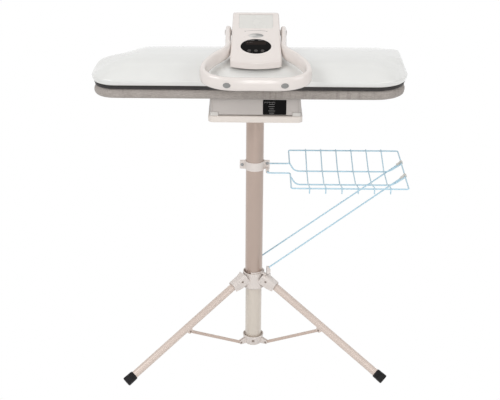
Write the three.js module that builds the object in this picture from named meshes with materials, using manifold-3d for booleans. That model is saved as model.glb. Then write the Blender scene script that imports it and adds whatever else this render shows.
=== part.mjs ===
// Steam ironing press on its tripod stand, with a wire rack for clothes.
// Millimetres, +Z up, front at -Y, rack at +X. The pole axis is x = 0, y = 0 until the last section.
import * as THREE from 'three';
import { mergeVertices } from 'three/addons/utils/BufferGeometryUtils.js';
import Module from 'manifold-3d';

const wasm = await Module();
wasm.setup();

// Clearances that many pieces share
const fit = { gap: 0.3, running: 0.4, overrun: 5, weld: 1 };

// Stand: the straight pole and the post that slides in it
const pole = { diameter: 57, wall: 1.2, seatLift: 2, sides: 24 };
const post = { endBelow: 3, wall: 1.5, hiddenLength: 285 };

// Tripod: one leg plane, measured from the pole axis and the floor
const tripod = { pivotRadius: 53, pivotHeight: 271.2, footRadius: 486, footHeight: 12.2, firstAngle: -28.1,
  legs: 3 };
const leg = { diameter: 25, wall: 1.7, endBehindPivot: 5, sides: 12, pinFromPivot: 236.8, pinBelow: 19 };
const pivot = { pinRadius: 3, headRadius: 5, headHeight: 2, domeRadius: 4, headSink: 0.5, sides: 8 };
const lug = { thickness: 2.5, length: 20, radius: 5.6, corner: 4.48 };
const stretcher = { height: 10, thickness: 4, endSteps: 4 };
const cap = { radius: 16.2, taper: 1.6, length: 36, wall: 3.4, soleCut: 1, sides: 16 };

// Hub: the casting round the pole that carries the legs
const hub = {
  belowPivot: 45.2, abovePivot: 24.8, ringRadius: 40, ringHeight: 9, waistRadius: 34, rimRadius: 35.2,
  seatHeight: 20, boreSlack: 3.4, socketWidth: 31.5, roof: 2.6, roofSlack: 1.2, mouthFromPivot: 41,
  cheekBelow: 15, cheekRoot: 8, cheekBend: 16.4,
};

// Collar: the cup at the post's end that holds the stretchers
const collar = {
  lowest: 27, height: 30, topRadius: 34.5, bottomRadius: 31, seatHeight: 13, boreSlack: 3.6,
  earRadius: 50, earRise: 8, earThickness: 2.5, earReach: 6.5, earCorner: 5.85, earRoot: 22.5,
  screwRise: 16, screwRadius: 3.2, screwHead: 2, screwHeadRadius: 5.12,
};

// Rack: a welded wire tray on two barrels, propped by two struts
const rack = {
  level: 664.5, left: 114, right: 481, front: -171, rear: 165, armSpread: 84, wire: 4.8, bend: 9,
    wireSides: 6,
  floorDrop: 28, floorFront: -70, floorRear: 46, floorStart: 17, floorRise: 41,
  crossWires: 6, crossInset: 57, crossPitch: 50.6, crossWire: 4, crossSides: 5, hookDrop: 15, hookOut: 5,
};
const strut = { clipLength: 14, clipWall: 2.6, frontClip: -56, rearClip: 60, bossLength: 17, bossStart: 7,
  footRise: 21 };
const bandClamp = {
  belowRack: 1.5, height: 29, thickness: 2.6, earReach: 17, earThickness: 3, boltRadius: 3, boltHead: 5.2,
  boltReach: 9.35, rightBoltRise: 19.72,
};
const barrel = { fromAxis: 41, radius: 5.6, boreSlack: 0.5, pinInset: 20 };
const propClamp = {
  sunk: 10, height: 15, thickness: 2, openAngle: 62, facingAngle: 190, neckWidth: 12, neckThickness: 3.6,
  frontFoot: [47, -36], rearFoot: [33, 48], web: 3, cheek: 2, depth: 15, earHeight: 26,
};

// Platform: the pressed pan on top of the pole and its flange
const platform = { width: 292, depth: 260, level: 866, height: 20, wall: 2.2, corner: 18, cornerSteps: 5 };
const flange = { plate: 130, thickness: 5, sleeveHeight: 34, sleeveWall: 3 };

// Press base: housing, rubber feet, gauge window and inlet
const base = {
  sideInset: 6.5, frontInset: 4, rearOverhang: 92, lift: 3.5, height: 53, corner: 10, panelInset: 7,
    panelDepth: 2,
  footWidth: 26, footHeight: 12, footProud: 1.6, footLift: 3.2,
};
const gauge = { centre: 59, width: 72, height: 46, thickness: 3, rise: 3.4 };
const inlet = { fromCentre: 80, radius: 9, bodyRadius: 6.3, length: 14, proud: 8.4, bore: 4.2, above: 24 };

// Board: the outline that tray, pad, heating plate and shell follow
const board = {
  left: -511, right: 471, front: -150, rear: 180, noseRear: -8, taperStart: -345,
  frontRadius: 85, rearRadius: 80, shoulderRadius: 100, noseRadius: 62, nosePull: 10, cornerSteps: 5,
};
const tray = { inset: 22, thickness: 5.4 };
const pad = { inset: 6, thickness: 26, edgeRadius: 7, lowerInset: 1.4, lowerRise: 2.8, upperInset: 2.1 };
const plate = { inset: 9, thickness: 8, holeRadius: 3, holeRows: 3, holePitch: 110, holeDepth: 3,
  rowPitch: 70 };
const shell = { lift: 4.1, wallHeight: 23, crown: 36, thickness: 3, insulator: 8 };

// Crown of the shell: [share of its height, share drawn in towards the spine]
const crownShares = [[0.18, 0.03], [0.5, 0.15], [0.84, 0.4], [1, 0.72]];

// Hinge at the back: column, pin, arm and its spring
const hinge = {
  behindBoard: 26, lift: 17, pinRadius: 7, pinHead: 9.8, cheekInner: 50, cheekThickness: 10,
    knuckleRadius: 17,
  knuckleSteps: 6, knuckleCorner: 16.66, throat: 11.9, springClear: 18.7, columnFront: 6, columnRear: 41,
  baseThickness: 8,
};
const spring = { wire: 4, turns: 6, pitch: 5.2, sides: 5, stepsPerTurn: 8 };
const arm = { width: 88, front: -60, thickness: 22 };

// Head: the moulded cover that holds tank, pump and display
const head = {
  front: -104, rollY: -112, rollLift: 75, rollRadius: 10, deckRear: 85, topLift: 173, topRadius: 16,
    rear: 146,
  rearLift: 131, frontHalf: 79, rearHalf: 72.5, bow: 12, bowShare: 0.35, wall: 3, edge: 7, edgeSteps: 2,
  lift: 26,
  steps: 6,
};
const display = { fromRoll: 59.5, width: 94, height: 66, thickness: 4, proud: 1.2 };
const keys = { radius: 5.8, pitch: 20.5, fromRoll: 39.3, thickness: 8, proud: 1 };
const badge = { fromRoll: 108.3, width: 46, height: 19, thickness: 1.6 };
const lid = { width: 105, length: 64, fromTop: 45.03, thickness: 3, slack: 0.5, hingeRadius: 3, corner: 6 };
const tank = { width: 116, front: 10, rear: 8, depth: 40, wall: 2.4, corner: 9, mouthRadius: 21 };
const pump = { radius: 14, length: 50, y: 8, nozzle: 4, nozzleLength: 9 };
const circuit = { width: 100, length: 58, thickness: 1.8, depth: 12, postRadius: 3, postInset: 5 };

// Handle: the band loop and its two steam buttons
const handle = {
  pivotY: 44, pivotLift: 117, armInner: 80.5, thickness: 15.5, height: 41, fallShare: 0.304, edge: 5.5,
    steps: 10,
  elbowY: -50, shoulder: 133, shoulderY: -110, widest: 162.5, widestY: -187, corner: 125, cornerY: -225,
  front: -235,
  bossRadius: 9, boltRadius: 6, boltHead: 9, boltHeadHeight: 1.6, searchSteps: 40,
};
const steamKey = { spread: 174, width: 23.5, height: 17, proud: 2, depth: 7, travel: 2 };

// Colours read from the photograph
const colour = {
  shell: 0xe6e6e3, cream: 0xede4de, housing: 0xd9d0c4, pole: 0xb9a89b, post: 0xd2c9ba, leg: 0xd8cabe,
    rubber: 0x2a2628,
  wire: 0xb4d9ea, pad: 0x968d87, metal: 0x9aa0a4, dark: 0x2b2929, grey: 0x8e8e8c, platform: 0xe3d9d0,
  board: 0x3f6b4a,
};

const part = new THREE.Group();

// Geometry to solid and back
function solid(geometry) {
  const bare = geometry.index ? geometry.toNonIndexed() : geometry;
  const points = new THREE.BufferGeometry();
  points.setAttribute('position', bare.getAttribute('position').clone());
  const merged = mergeVertices(points, 1e-4);
  return new wasm.Manifold(new wasm.Mesh({
    numProp: 3,
    vertProperties: new Float32Array(merged.attributes.position.array),
    triVerts: new Uint32Array(merged.index.array),
  }));
}

function surface(manifold) {
  const mesh = manifold.getMesh();
  const geometry = new THREE.BufferGeometry();
  geometry.setAttribute('position', new THREE.BufferAttribute(new Float32Array(mesh.vertProperties), 3));
  geometry.setIndex(new THREE.BufferAttribute(new Uint32Array(mesh.triVerts), 1));
  geometry.computeVertexNormals();
  return geometry;
}

function piece(name, body, tint, roughness, metalness, parent = part) {
  const geometry = body.getMesh ? surface(body) : body;
  const material = new THREE.MeshStandardMaterial({ color: tint, roughness, metalness });
  const mesh = new THREE.Mesh(geometry, material);
  mesh.name = name;
  parent.add(mesh);
  return mesh;
}

// Basic solids, each standing where its sizes put it
function box(x0, x1, y0, y1, z0, z1) {
  const geometry = new THREE.BoxGeometry(x1 - x0, y1 - y0, z1 - z0);
  return solid(geometry.translate((x0 + x1) / 2, (y0 + y1) / 2, (z0 + z1) / 2));
}

function revolve(profile, sides) {
  const points = profile.map(([radius, height]) => new THREE.Vector2(radius, height));
  return solid(new THREE.LatheGeometry(points, sides).rotateX(Math.PI / 2));
}

function ring(outer, inner, bottom, top, sides) {
  return revolve([[inner, bottom], [outer, bottom], [outer, top], [inner, top], [inner, bottom]], sides);
}

function disc(radius, bottom, top, sides) {
  return revolve([[0, bottom], [radius, bottom], [radius, top], [0, top]], sides);
}

// Cylinder along X or Y, centred where asked
function bar(axis, radius, from, to, across, up, sides) {
  const geometry = new THREE.CylinderGeometry(radius, radius, to - from, sides);
  const middle = (from + to) / 2;
  if (axis === 'x') return solid(geometry.rotateZ(-Math.PI / 2).translate(middle, across, up));
  return solid(geometry.translate(across, middle, up));
}

// Outline of points with a fillet at each corner, as [x, y, radius]
function filleted(corners, steps) {
  const points = [];
  corners.forEach(([x, y, radius], index) => {
    const here = new THREE.Vector2(x, y);
    const before = corners[(index + corners.length - 1) % corners.length];
    const after = corners[(index + 1) % corners.length];
    const back = new THREE.Vector2(before[0], before[1]).sub(here).normalize();
    const on = new THREE.Vector2(after[0], after[1]).sub(here).normalize();
    if (!radius) {
      points.push(here);
      return;
    }
    const half = Math.acos(THREE.MathUtils.clamp(back.dot(on), -1, 1)) / 2;
    const reach = radius / Math.tan(half);
    const centre = back.clone().add(on).normalize().multiplyScalar(radius / Math.sin(half)).add(here);
    const first = back.clone().multiplyScalar(reach).add(here).sub(centre);
    const last = on.clone().multiplyScalar(reach).add(here).sub(centre);
    const start = first.angle();
    let sweep = last.angle() - start;
    if (sweep > Math.PI) sweep -= 2 * Math.PI;
    if (sweep < -Math.PI) sweep += 2 * Math.PI;
    for (let step = 0; step <= steps; step += 1) {
      const angle = start + sweep * step / steps;
      points.push(new THREE.Vector2(centre.x + radius * Math.cos(angle),
        centre.y + radius * Math.sin(angle)));
    }
  });
  return points;
}

// Corners drawn in by an inset, each radius with them
function drawnIn(corners, inset) {
  const count = corners.length;
  return corners.map(([x, y, radius], index) => {
    const here = new THREE.Vector2(x, y);
    const before = corners[(index + count - 1) % count];
    const after = corners[(index + 1) % count];
    const into = here.clone().sub(new THREE.Vector2(before[0], before[1])).normalize();
    const out = new THREE.Vector2(after[0], after[1]).sub(here).normalize();
    const left = new THREE.Vector2(-into.y, into.x);
    const right = new THREE.Vector2(-out.y, out.x);
    const middle = left.clone().add(right).normalize();
    const moved = here.clone().addScaledVector(middle, inset / middle.dot(left));
    return [moved.x, moved.y, radius ? Math.max(radius - inset, inset) : 0];
  });
}

function rectangle(x0, x1, y0, y1, radius, steps) {
  return filleted([[x0, y0, radius], [x1, y0, radius], [x1, y1, radius], [x0, y1, radius]], steps);
}

// Extrusion of an outline between two levels
function slab(outline, bottom, top) {
  const geometry = new THREE.ExtrudeGeometry(new THREE.Shape(outline),
    { depth: top - bottom, bevelEnabled: false });
  return solid(geometry.translate(0, 0, bottom));
}

// Extrusion of a (y, z) profile along X, and of an (x, z) profile along Y
function acrossX(outline, from, to) {
  const geometry = new THREE.ExtrudeGeometry(new THREE.Shape(outline),
    { depth: to - from, bevelEnabled: false });
  geometry.applyMatrix4(new THREE.Matrix4().makeBasis(
    new THREE.Vector3(0, 1, 0), new THREE.Vector3(0, 0, 1), new THREE.Vector3(1, 0, 0)));
  return solid(geometry.translate(from, 0, 0));
}

function alongY(outline, from, to) {
  const geometry = new THREE.ExtrudeGeometry(new THREE.Shape(outline),
    { depth: to - from, bevelEnabled: false });
  geometry.applyMatrix4(new THREE.Matrix4().makeBasis(
    new THREE.Vector3(1, 0, 0), new THREE.Vector3(0, 0, 1), new THREE.Vector3(0, -1, 0)));
  return solid(geometry.translate(0, to, 0));
}

// Loft: rings of as many points each, closed by a fan at both ends
function loft(rings) {
  const count = rings[0].length;
  const positions = [];
  const triangle = (a, b, c) => positions.push(a.x, a.y, a.z, b.x, b.y, b.z, c.x, c.y, c.z);
  const middle = (points) => points.reduce((sum, point) => sum.add(point),
    new THREE.Vector3()).divideScalar(count);
  for (let level = 0; level < rings.length - 1; level += 1) {
    for (let index = 0; index < count; index += 1) {
      const next = (index + 1) % count;
      triangle(rings[level][index], rings[level][next], rings[level + 1][next]);
      triangle(rings[level][index], rings[level + 1][next], rings[level + 1][index]);
    }
  }
  const low = middle(rings[0]);
  const high = middle(rings[rings.length - 1]);
  for (let index = 0; index < count; index += 1) {
    const next = (index + 1) % count;
    triangle(low, rings[0][next], rings[0][index]);
    triangle(high, rings[rings.length - 1][index], rings[rings.length - 1][next]);
  }
  const geometry = new THREE.BufferGeometry();
  geometry.setAttribute('position', new THREE.Float32BufferAttribute(positions, 3));
  return solid(geometry);
}

// Route of chosen points, swept with frames of its own
class Route extends THREE.Curve {
  constructor(points, upright = false) {
    super();
    this.points = points;
    this.upright = upright;
  }

  getPoint(share) {
    return this.points[Math.round(share * (this.points.length - 1))].clone();
  }

  getPointAt(share) {
    return this.getPoint(share);
  }

  getTangentAt(share) {
    const index = Math.round(share * (this.points.length - 1));
    const here = this.points[index];
    const tangent = new THREE.Vector3();
    if (index > 0) tangent.add(here.clone().sub(this.points[index - 1]).normalize());
    if (index < this.points.length - 1) tangent.add(this.points[index + 1].clone().sub(here).normalize());
    return tangent.normalize();
  }

  computeFrenetFrames(segments, closed) {
    if (!this.upright) return super.computeFrenetFrames(segments, closed);
    const frames = { tangents: [], normals: [], binormals: [] };
    const up = new THREE.Vector3(0, 0, 1);
    for (let index = 0; index <= segments; index += 1) {
      const tangent = this.getTangentAt(index / segments);
      const normal = new THREE.Vector3().crossVectors(up, tangent).normalize();
      frames.tangents.push(tangent);
      frames.normals.push(normal);
      frames.binormals.push(new THREE.Vector3().crossVectors(tangent, normal));
    }
    return frames;
  }
}

// Wire: straight runs with a rounded bend at each inner corner
function wire(corners, radius, bend, sides, bendSteps = 2) {
  const points = [corners[0]];
  for (let index = 1; index < corners.length - 1; index += 1) {
    const here = corners[index];
    const back = corners[index - 1].clone().sub(here);
    const on = corners[index + 1].clone().sub(here);
    const reach = Math.min(bend, back.length() / 2, on.length() / 2);
    const start = back.normalize().multiplyScalar(reach).add(here);
    const end = on.normalize().multiplyScalar(reach).add(here);
    const curve = new THREE.QuadraticBezierCurve3(start, here, end);
    points.push(...curve.getPoints(bendSteps));
  }
  points.push(corners[corners.length - 1]);
  return tubeAlong(points, radius, sides);
}

function tubeAlong(points, radius, sides) {
  const section = new THREE.Shape();
  for (let index = 0; index < sides; index += 1) {
    const angle = 2 * Math.PI * index / sides;
    const place = [radius * Math.cos(angle), radius * Math.sin(angle)];
    if (index === 0) section.moveTo(...place);
    else section.lineTo(...place);
  }
  const route = new Route(points);
  return solid(new THREE.ExtrudeGeometry(section,
    { steps: points.length - 1, extrudePath: route, bevelEnabled: false }));
}

const at = (x, y, z) => new THREE.Vector3(x, y, z);

// Pole: one tube from the hub's seat to the flange
const hubBottom = tripod.pivotHeight - hub.belowPivot;
const hubTop = tripod.pivotHeight + hub.abovePivot;
const poleRadius = pole.diameter / 2;
const poleBottom = hubBottom + pole.seatLift;
const platformTop = platform.level + platform.height;
const poleTop = platformTop - platform.wall - flange.thickness - 2 * fit.gap;
piece('pole', ring(poleRadius, poleRadius - pole.wall, poleBottom, poleTop, pole.sides), colour.pole, 0.35,
  0.4);

// Lower post: slides up and down inside the pole
const postRadius = poleRadius - pole.wall - fit.gap;
const postBottom = collar.lowest - post.endBelow;
const postTop = poleBottom + post.hiddenLength;
piece('lower_post', ring(postRadius, postRadius - post.wall, postBottom, postTop, pole.sides), colour.post,
  0.4, 0.3);

// Leg plane: everything on one leg is drawn in x = radius, z = height, then turned round the pole
const legSpan = Math.hypot(tripod.footRadius - tripod.pivotRadius, tripod.pivotHeight - tripod.footHeight);
const legSlope = Math.atan2(tripod.pivotHeight - tripod.footHeight, tripod.footRadius - tripod.pivotRadius);
const legRadius = leg.diameter / 2;

// Place along the leg from its pivot, with a height square to it
function onLeg(along, above) {
  return [
    tripod.pivotRadius + along * Math.cos(legSlope) + above * Math.sin(legSlope),
    tripod.pivotHeight - along * Math.sin(legSlope) + above * Math.cos(legSlope),
  ];
}

// Solid drawn along +X from the pivot, laid down on the leg's slope
function laidOnLeg(body) {
  const matrix = new THREE.Matrix4().makeTranslation(tripod.pivotRadius, 0, tripod.pivotHeight);
  matrix.multiply(new THREE.Matrix4().makeRotationY(legSlope));
  return body.transform(matrix.elements);
}

// Hub: lathe body, three open-bottomed sockets and their pivot pins in one casting
function turned(body, angle) {
  return body.transform(new THREE.Matrix4().makeRotationZ(angle).elements);
}

function legAngle(index) {
  return THREE.MathUtils.degToRad(tripod.firstAngle + index * 360 / tripod.legs);
}

const socketInner = legRadius + fit.running + hub.roofSlack;
const socketOuter = hub.socketWidth / 2;

function hubSocket() {
  const roofTop = legRadius + hub.roofSlack + hub.roof;
  const root = tripod.pivotRadius - hub.waistRadius;
  const cheek = [
    [-root, roofTop], [hub.mouthFromPivot, roofTop], [hub.mouthFromPivot, -hub.cheekBelow],
    [hub.cheekBend, -hub.cheekBelow - hub.cheekRoot], [-root, -hub.cheekBelow - hub.cheekRoot],
  ].map(([x, z]) => new THREE.Vector2(x, z));
  return laidOnLeg(alongY(cheek, -socketOuter, socketOuter));
}

function hubSlot() {
  const roofUnder = legRadius + hub.roofSlack;
  const behind = Math.hypot(leg.endBehindPivot, legRadius) + fit.running;
  const inside = box(-behind, hub.mouthFromPivot + fit.overrun, -socketInner, socketInner,
    -hub.cheekBelow - hub.cheekRoot - legRadius - hub.roofSlack, roofUnder);
  return laidOnLeg(inside);
}

function pivotPin(halfWidth, radius, headRadius, headHeight) {
  const shank = bar('y', radius, -halfWidth, halfWidth, 0, 0, pivot.sides);
  const left = bar('y', headRadius, -halfWidth - headHeight, -halfWidth + pivot.headSink, 0, 0,
    pivot.sides);
  const right = bar('y', headRadius, halfWidth - pivot.headSink, halfWidth + headHeight, 0, 0, pivot.sides);
  return shank.add(left).add(right);
}

const hubBore = poleRadius + fit.gap;
const hubProfile = [
  [hubBore, hubBottom], [hub.ringRadius - fit.gap, hubBottom],
    [hub.ringRadius, hubBottom + hub.ringHeight / 2],
  [hub.ringRadius, hubBottom + hub.ringHeight], [hub.waistRadius, hubBottom + 2 * hub.ringHeight],
  [hub.waistRadius, hubTop - hub.ringHeight], [hub.rimRadius, hubTop],
  [hubBore + hub.boreSlack, hubTop], [hubBore + hub.boreSlack, hubBottom + hub.seatHeight + hub.boreSlack],
  [hubBore, hubBottom + hub.seatHeight], [hubBore, hubBottom],
];
let hubBody = revolve(hubProfile, pole.sides);
const hubCore = disc(hubBore + hub.boreSlack, hubBottom - fit.overrun, hubTop + fit.overrun, pole.sides);
const seatSleeve = ring(hub.waistRadius, hubBore, hubBottom, hubBottom + hub.seatHeight, pole.sides);
const hubLimit = box(-tripod.footRadius, tripod.footRadius, -tripod.footRadius, tripod.footRadius,
  hubBottom, hubTop);
for (let index = 0; index < tripod.legs; index += 1) {
  const socket = hubSocket().intersect(hubLimit).subtract(hubCore);
  hubBody = hubBody.add(turned(socket, legAngle(index)));
}
for (let index = 0; index < tripod.legs; index += 1) {
  const slot = hubSlot().subtract(disc(hub.waistRadius, hubBottom - fit.overrun, hubTop + fit.overrun,
    pole.sides));
  const pin = laidOnLeg(pivotPin(socketOuter, pivot.pinRadius, pivot.headRadius, pivot.headHeight));
  hubBody = hubBody.subtract(turned(slot, legAngle(index))).add(turned(pin, legAngle(index)));
}
piece('hub', hubBody.add(seatSleeve), colour.cream, 0.4, 0);

// Stretcher geometry: pin under the leg and ear on the collar
const legPin = onLeg(leg.pinFromPivot, -leg.pinBelow);
const earHeight = collar.lowest + collar.earRise;
const stretcherSpan = Math.hypot(legPin[0] - collar.earRadius, legPin[1] - earHeight);
const stretcherAngle = Math.atan2(legPin[1] - earHeight, legPin[0] - collar.earRadius);

function legBody() {
  const start = -leg.endBehindPivot;
  const end = legSpan - cap.wall - fit.gap;
  const tubeSolid = bar('x', legRadius, start, end, 0, 0, leg.sides);
  const bore = bar('x', legRadius - leg.wall, start - fit.overrun, end + fit.overrun, 0, 0, leg.sides);
  const pinHole = bar('y', pivot.pinRadius + fit.gap, -leg.diameter, leg.diameter, 0, 0, pivot.sides);
  const cheekOffset = stretcher.thickness / 2 + fit.running;
  const cheek = filleted([
    [leg.pinFromPivot - lug.length / 2, -legRadius / 2, 0],
      [leg.pinFromPivot - lug.length / 2, -legRadius - lug.thickness, 0],
    [leg.pinFromPivot - lug.radius, -leg.pinBelow - lug.radius, lug.corner],
    [leg.pinFromPivot + lug.radius, -leg.pinBelow - lug.radius, lug.corner],
    [leg.pinFromPivot + lug.length / 2, -legRadius - lug.thickness, 0],
    [leg.pinFromPivot + lug.length / 2, -legRadius / 2, 0],
  ], 2);
  const left = alongY(cheek, -cheekOffset - lug.thickness, -cheekOffset);
  const right = alongY(cheek, cheekOffset, cheekOffset + lug.thickness);
  const pin = pivotPin(cheekOffset + lug.thickness, pivot.pinRadius, pivot.headRadius - fit.gap,
    pivot.headHeight)
    .translate([leg.pinFromPivot, 0, -leg.pinBelow]);
  const rivet = revolve([[0, 0], [pivot.headRadius, 0], [pivot.domeRadius, pivot.headHeight],
    [0, pivot.headHeight]], pivot.sides)
    .translate([leg.pinFromPivot, 0, legRadius - pivot.headSink]);
  const lugs = left.add(right).subtract(bore);
  return laidOnLeg(tubeSolid.add(lugs).subtract(bore).subtract(pinHole).add(pin).add(rivet.subtract(bore)));
}

function capBody() {
  const inner = legRadius + fit.gap;
  const profile = [
    [0, 0], [cap.radius - cap.taper, 0], [cap.radius, cap.taper], [cap.radius - cap.taper, cap.length],
    [inner, cap.length], [inner, cap.wall], [0, cap.wall],
  ];
  const upright = revolve(profile, cap.sides);
  const matrix = new THREE.Matrix4().makeTranslation(legSpan, 0, 0)
    .multiply(new THREE.Matrix4().makeRotationY(-Math.PI / 2));
  const laid = laidOnLeg(upright.transform(matrix.elements));
  const lowest = laid.boundingBox().min[2];
  const reach = tripod.footRadius + legSpan;
  return laid.intersect(box(0, reach, -reach, reach, lowest + cap.soleCut, lowest + legSpan));
}

function stretcherBody() {
  const half = stretcher.height / 2;
  const outline = [];
  for (const [end, start] of [[stretcherSpan, -Math.PI / 2], [0, Math.PI / 2]]) {
    for (let step = 0; step <= stretcher.endSteps; step += 1) {
      const angle = start + Math.PI * step / stretcher.endSteps;
      outline.push(new THREE.Vector2(end + half * Math.cos(angle), half * Math.sin(angle)));
    }
  }
  const strap = alongY(outline, -stretcher.thickness / 2, stretcher.thickness / 2);
  const hole = (place) => bar('y', pivot.pinRadius + fit.gap, -stretcher.thickness, stretcher.thickness,
    place, 0, pivot.sides);
  const matrix = new THREE.Matrix4().makeTranslation(collar.earRadius, 0, earHeight);
  matrix.multiply(new THREE.Matrix4().makeRotationY(-stretcherAngle));
  return strap.subtract(hole(0)).subtract(hole(stretcherSpan)).transform(matrix.elements);
}

const legNames = ['right', 'rear', 'left'];
legNames.forEach((side, index) => {
  const plane = new THREE.Group();
  plane.rotation.z = legAngle(index);
  part.add(plane);
  piece(`leg_${side}`, legBody(), colour.leg, 0.4, 0.2, plane);
  piece(`foot_cap_${side}`, capBody(), colour.rubber, 0.7, 0, plane);
  piece(`stretcher_${side}`, stretcherBody(), colour.leg, 0.4, 0.3, plane);
});

// Collar: cup on the post with a pair of ears to each stretcher
const collarBore = postRadius + fit.gap;
let collarBody = revolve([
  [collarBore, collar.lowest], [collar.bottomRadius, collar.lowest],
    [collar.topRadius, collar.lowest + collar.height],
  [collarBore + collar.boreSlack, collar.lowest + collar.height],
  [collarBore + collar.boreSlack, collar.lowest + collar.seatHeight + collar.boreSlack],
  [collarBore, collar.lowest + collar.seatHeight], [collarBore, collar.lowest],
], pole.sides);
const collarCore = disc(collarBore + collar.boreSlack, 0, poleBottom, pole.sides);
for (let index = 0; index < tripod.legs; index += 1) {
  const cheekOffset = stretcher.thickness / 2 + fit.running;
  const outline = filleted([
    [collarBore, collar.lowest + collar.earRoot, 0], [collarBore, collar.lowest + fit.gap, 0],
    [collar.earRadius + collar.earReach, earHeight - collar.earReach, collar.earCorner],
    [collar.earRadius + collar.earReach, earHeight + collar.earReach, collar.earCorner],
  ], 2);
  for (const side of [-1, 1]) {
    const from = side > 0 ? cheekOffset : -cheekOffset - collar.earThickness;
    const cheek = alongY(outline, from, from + collar.earThickness).subtract(collarCore);
    const face = side > 0 ? from + collar.earThickness : from;
    const stub = bar('y', pivot.headRadius - fit.gap,
      Math.min(face - side * fit.gap, face + side * pivot.headHeight),
      Math.max(face - side * fit.gap, face + side * pivot.headHeight), collar.earRadius, earHeight,
      pivot.sides);
    collarBody = collarBody.add(turned(cheek.add(stub), legAngle(index)));
  }
}
const screwHeight = collar.lowest + collar.screwRise;
const collarScrewHole = bar('y', collar.screwRadius + fit.gap, -collar.topRadius - fit.overrun, 0, 0,
  screwHeight, 12);
piece('collar', collarBody.subtract(collarScrewHole), colour.cream, 0.4, 0);

// Collar screw: its point bears on the post
const screwHeadTop = screwHeight + collar.screwHeadRadius;
const screwFace = -THREE.MathUtils.lerp(collar.bottomRadius, collar.topRadius,
  (screwHeadTop - collar.lowest) / collar.height);
const screwSeat = screwFace - fit.running;
const screwShank = bar('y', collar.screwRadius, screwSeat - collar.screwHead / 2, -postRadius - fit.gap, 0,
  screwHeight, 12);
const screwHead = bar('y', collar.screwHeadRadius, screwSeat - collar.screwHead, screwSeat, 0, screwHeight,
  12);
piece('collar_screw', screwShank.add(screwHead), colour.metal, 0.4, 0.8);

// Upper clamp: two half bands bolted at their ears, each with one barrel of the rack's hinge
const bandInner = poleRadius + fit.gap;
const bandOuter = bandInner + bandClamp.thickness;
const bandBottom = rack.level - bandClamp.belowRack;
const bandTop = bandBottom + bandClamp.height;
const rackWire = rack.wire / 2;
const barrelEnd = rack.armSpread / 2 - rack.bend - fit.gap;

function halfBand(side) {
  const faceGap = side * fit.gap / 2;
  const far = side * bandOuter * 2;
  const band = ring(bandOuter, bandInner, bandBottom, bandTop, pole.sides)
    .intersect(box(-bandOuter * 2, bandOuter * 2, Math.min(faceGap, far), Math.max(faceGap, far),
      bandBottom, bandTop));
  const earFace = side * (fit.gap / 2 + bandClamp.earThickness);
  const ear = (from, to) => box(from, to, Math.min(faceGap, earFace), Math.max(faceGap, earFace),
    bandBottom, bandTop);
  const boltAt = bandOuter + bandClamp.boltReach;
  const boltHeight = bandBottom + bandClamp.rightBoltRise;
  const hole = (x, z) => bar('y', bandClamp.boltRadius + fit.gap, -bandOuter, bandOuter, x, z, 12);
  const leftEar = ear(-bandOuter - bandClamp.earReach, -bandInner - fit.gap)
    .subtract(hole(-boltAt, bandBottom + bandClamp.height / 2));
  const rightEar = ear(bandInner + fit.gap, bandOuter + bandClamp.earReach)
    .subtract(hole(boltAt, boltHeight));
  const inner = side * bandClamp.earThickness;
  const outer = side * barrelEnd;
  const tube = bar('y', barrel.radius, Math.min(inner, outer), Math.max(inner, outer), barrel.fromAxis,
    rack.level, 14);
  const boreInner = side * (rack.armSpread / 2 - barrel.pinInset - fit.overrun);
  const boreOuter = side * (barrelEnd + fit.overrun);
  const bore = bar('y', rackWire + barrel.boreSlack, Math.min(boreInner, boreOuter),
    Math.max(boreInner, boreOuter),
    barrel.fromAxis, rack.level, 12);
  return band.add(leftEar).add(rightEar).add(tube).subtract(bore);
}

piece('clamp_front', halfBand(-1), colour.cream, 0.4, 0);
piece('clamp_rear', halfBand(1), colour.cream, 0.4, 0);

function clampBolt(x, z) {
  const face = fit.gap / 2 + bandClamp.earThickness + fit.gap;
  const shank = bar('y', bandClamp.boltRadius, -face - fit.gap, face + fit.gap, x, z, 12);
  const headDepth = bandClamp.boltRadius;
  const front = bar('y', bandClamp.boltHead, -face - headDepth, -face, x, z, 12);
  const nut = bar('y', bandClamp.boltHead, face, face + headDepth, x, z, 6);
  return shank.add(front).add(nut);
}

const boltReach = bandOuter + bandClamp.boltReach;
piece('clamp_bolt_left', clampBolt(-boltReach, bandBottom + bandClamp.height / 2), colour.metal, 0.4, 0.8);
piece('clamp_bolt_right', clampBolt(boltReach, bandBottom + bandClamp.rightBoltRise), colour.metal, 0.4,
  0.8);

// Rack tray: rim and hinge pins of one wire, two floor rails and the cross wires welded on
const armAt = rack.armSpread / 2;
const rimCorners = [
  at(barrel.fromAxis, -armAt + barrel.pinInset, rack.level), at(barrel.fromAxis, -armAt, rack.level),
  at(rack.left, -armAt, rack.level), at(rack.left, rack.front, rack.level),
  at(rack.right, rack.front, rack.level),
  at(rack.right, rack.rear, rack.level), at(rack.left, rack.rear, rack.level),
  at(rack.left, armAt, rack.level),
  at(barrel.fromAxis, armAt, rack.level), at(barrel.fromAxis, armAt - barrel.pinInset, rack.level),
];
let trayBody = wire(rimCorners, rackWire, rack.bend, rack.wireSides);
const floorLevel = rack.level - rack.floorDrop;
for (const y of [rack.floorFront, rack.floorRear]) {
  trayBody = trayBody.add(wire([
    at(rack.left, y, rack.level), at(rack.left + rack.floorStart, y, floorLevel),
    at(rack.right - rack.floorRise, y, floorLevel), at(rack.right, y, rack.level),
  ], rackWire, rack.bend * 2, rack.wireSides));
}
const crossRadius = rack.crossWire / 2;
const crossLift = rackWire + crossRadius - fit.weld;
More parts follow.
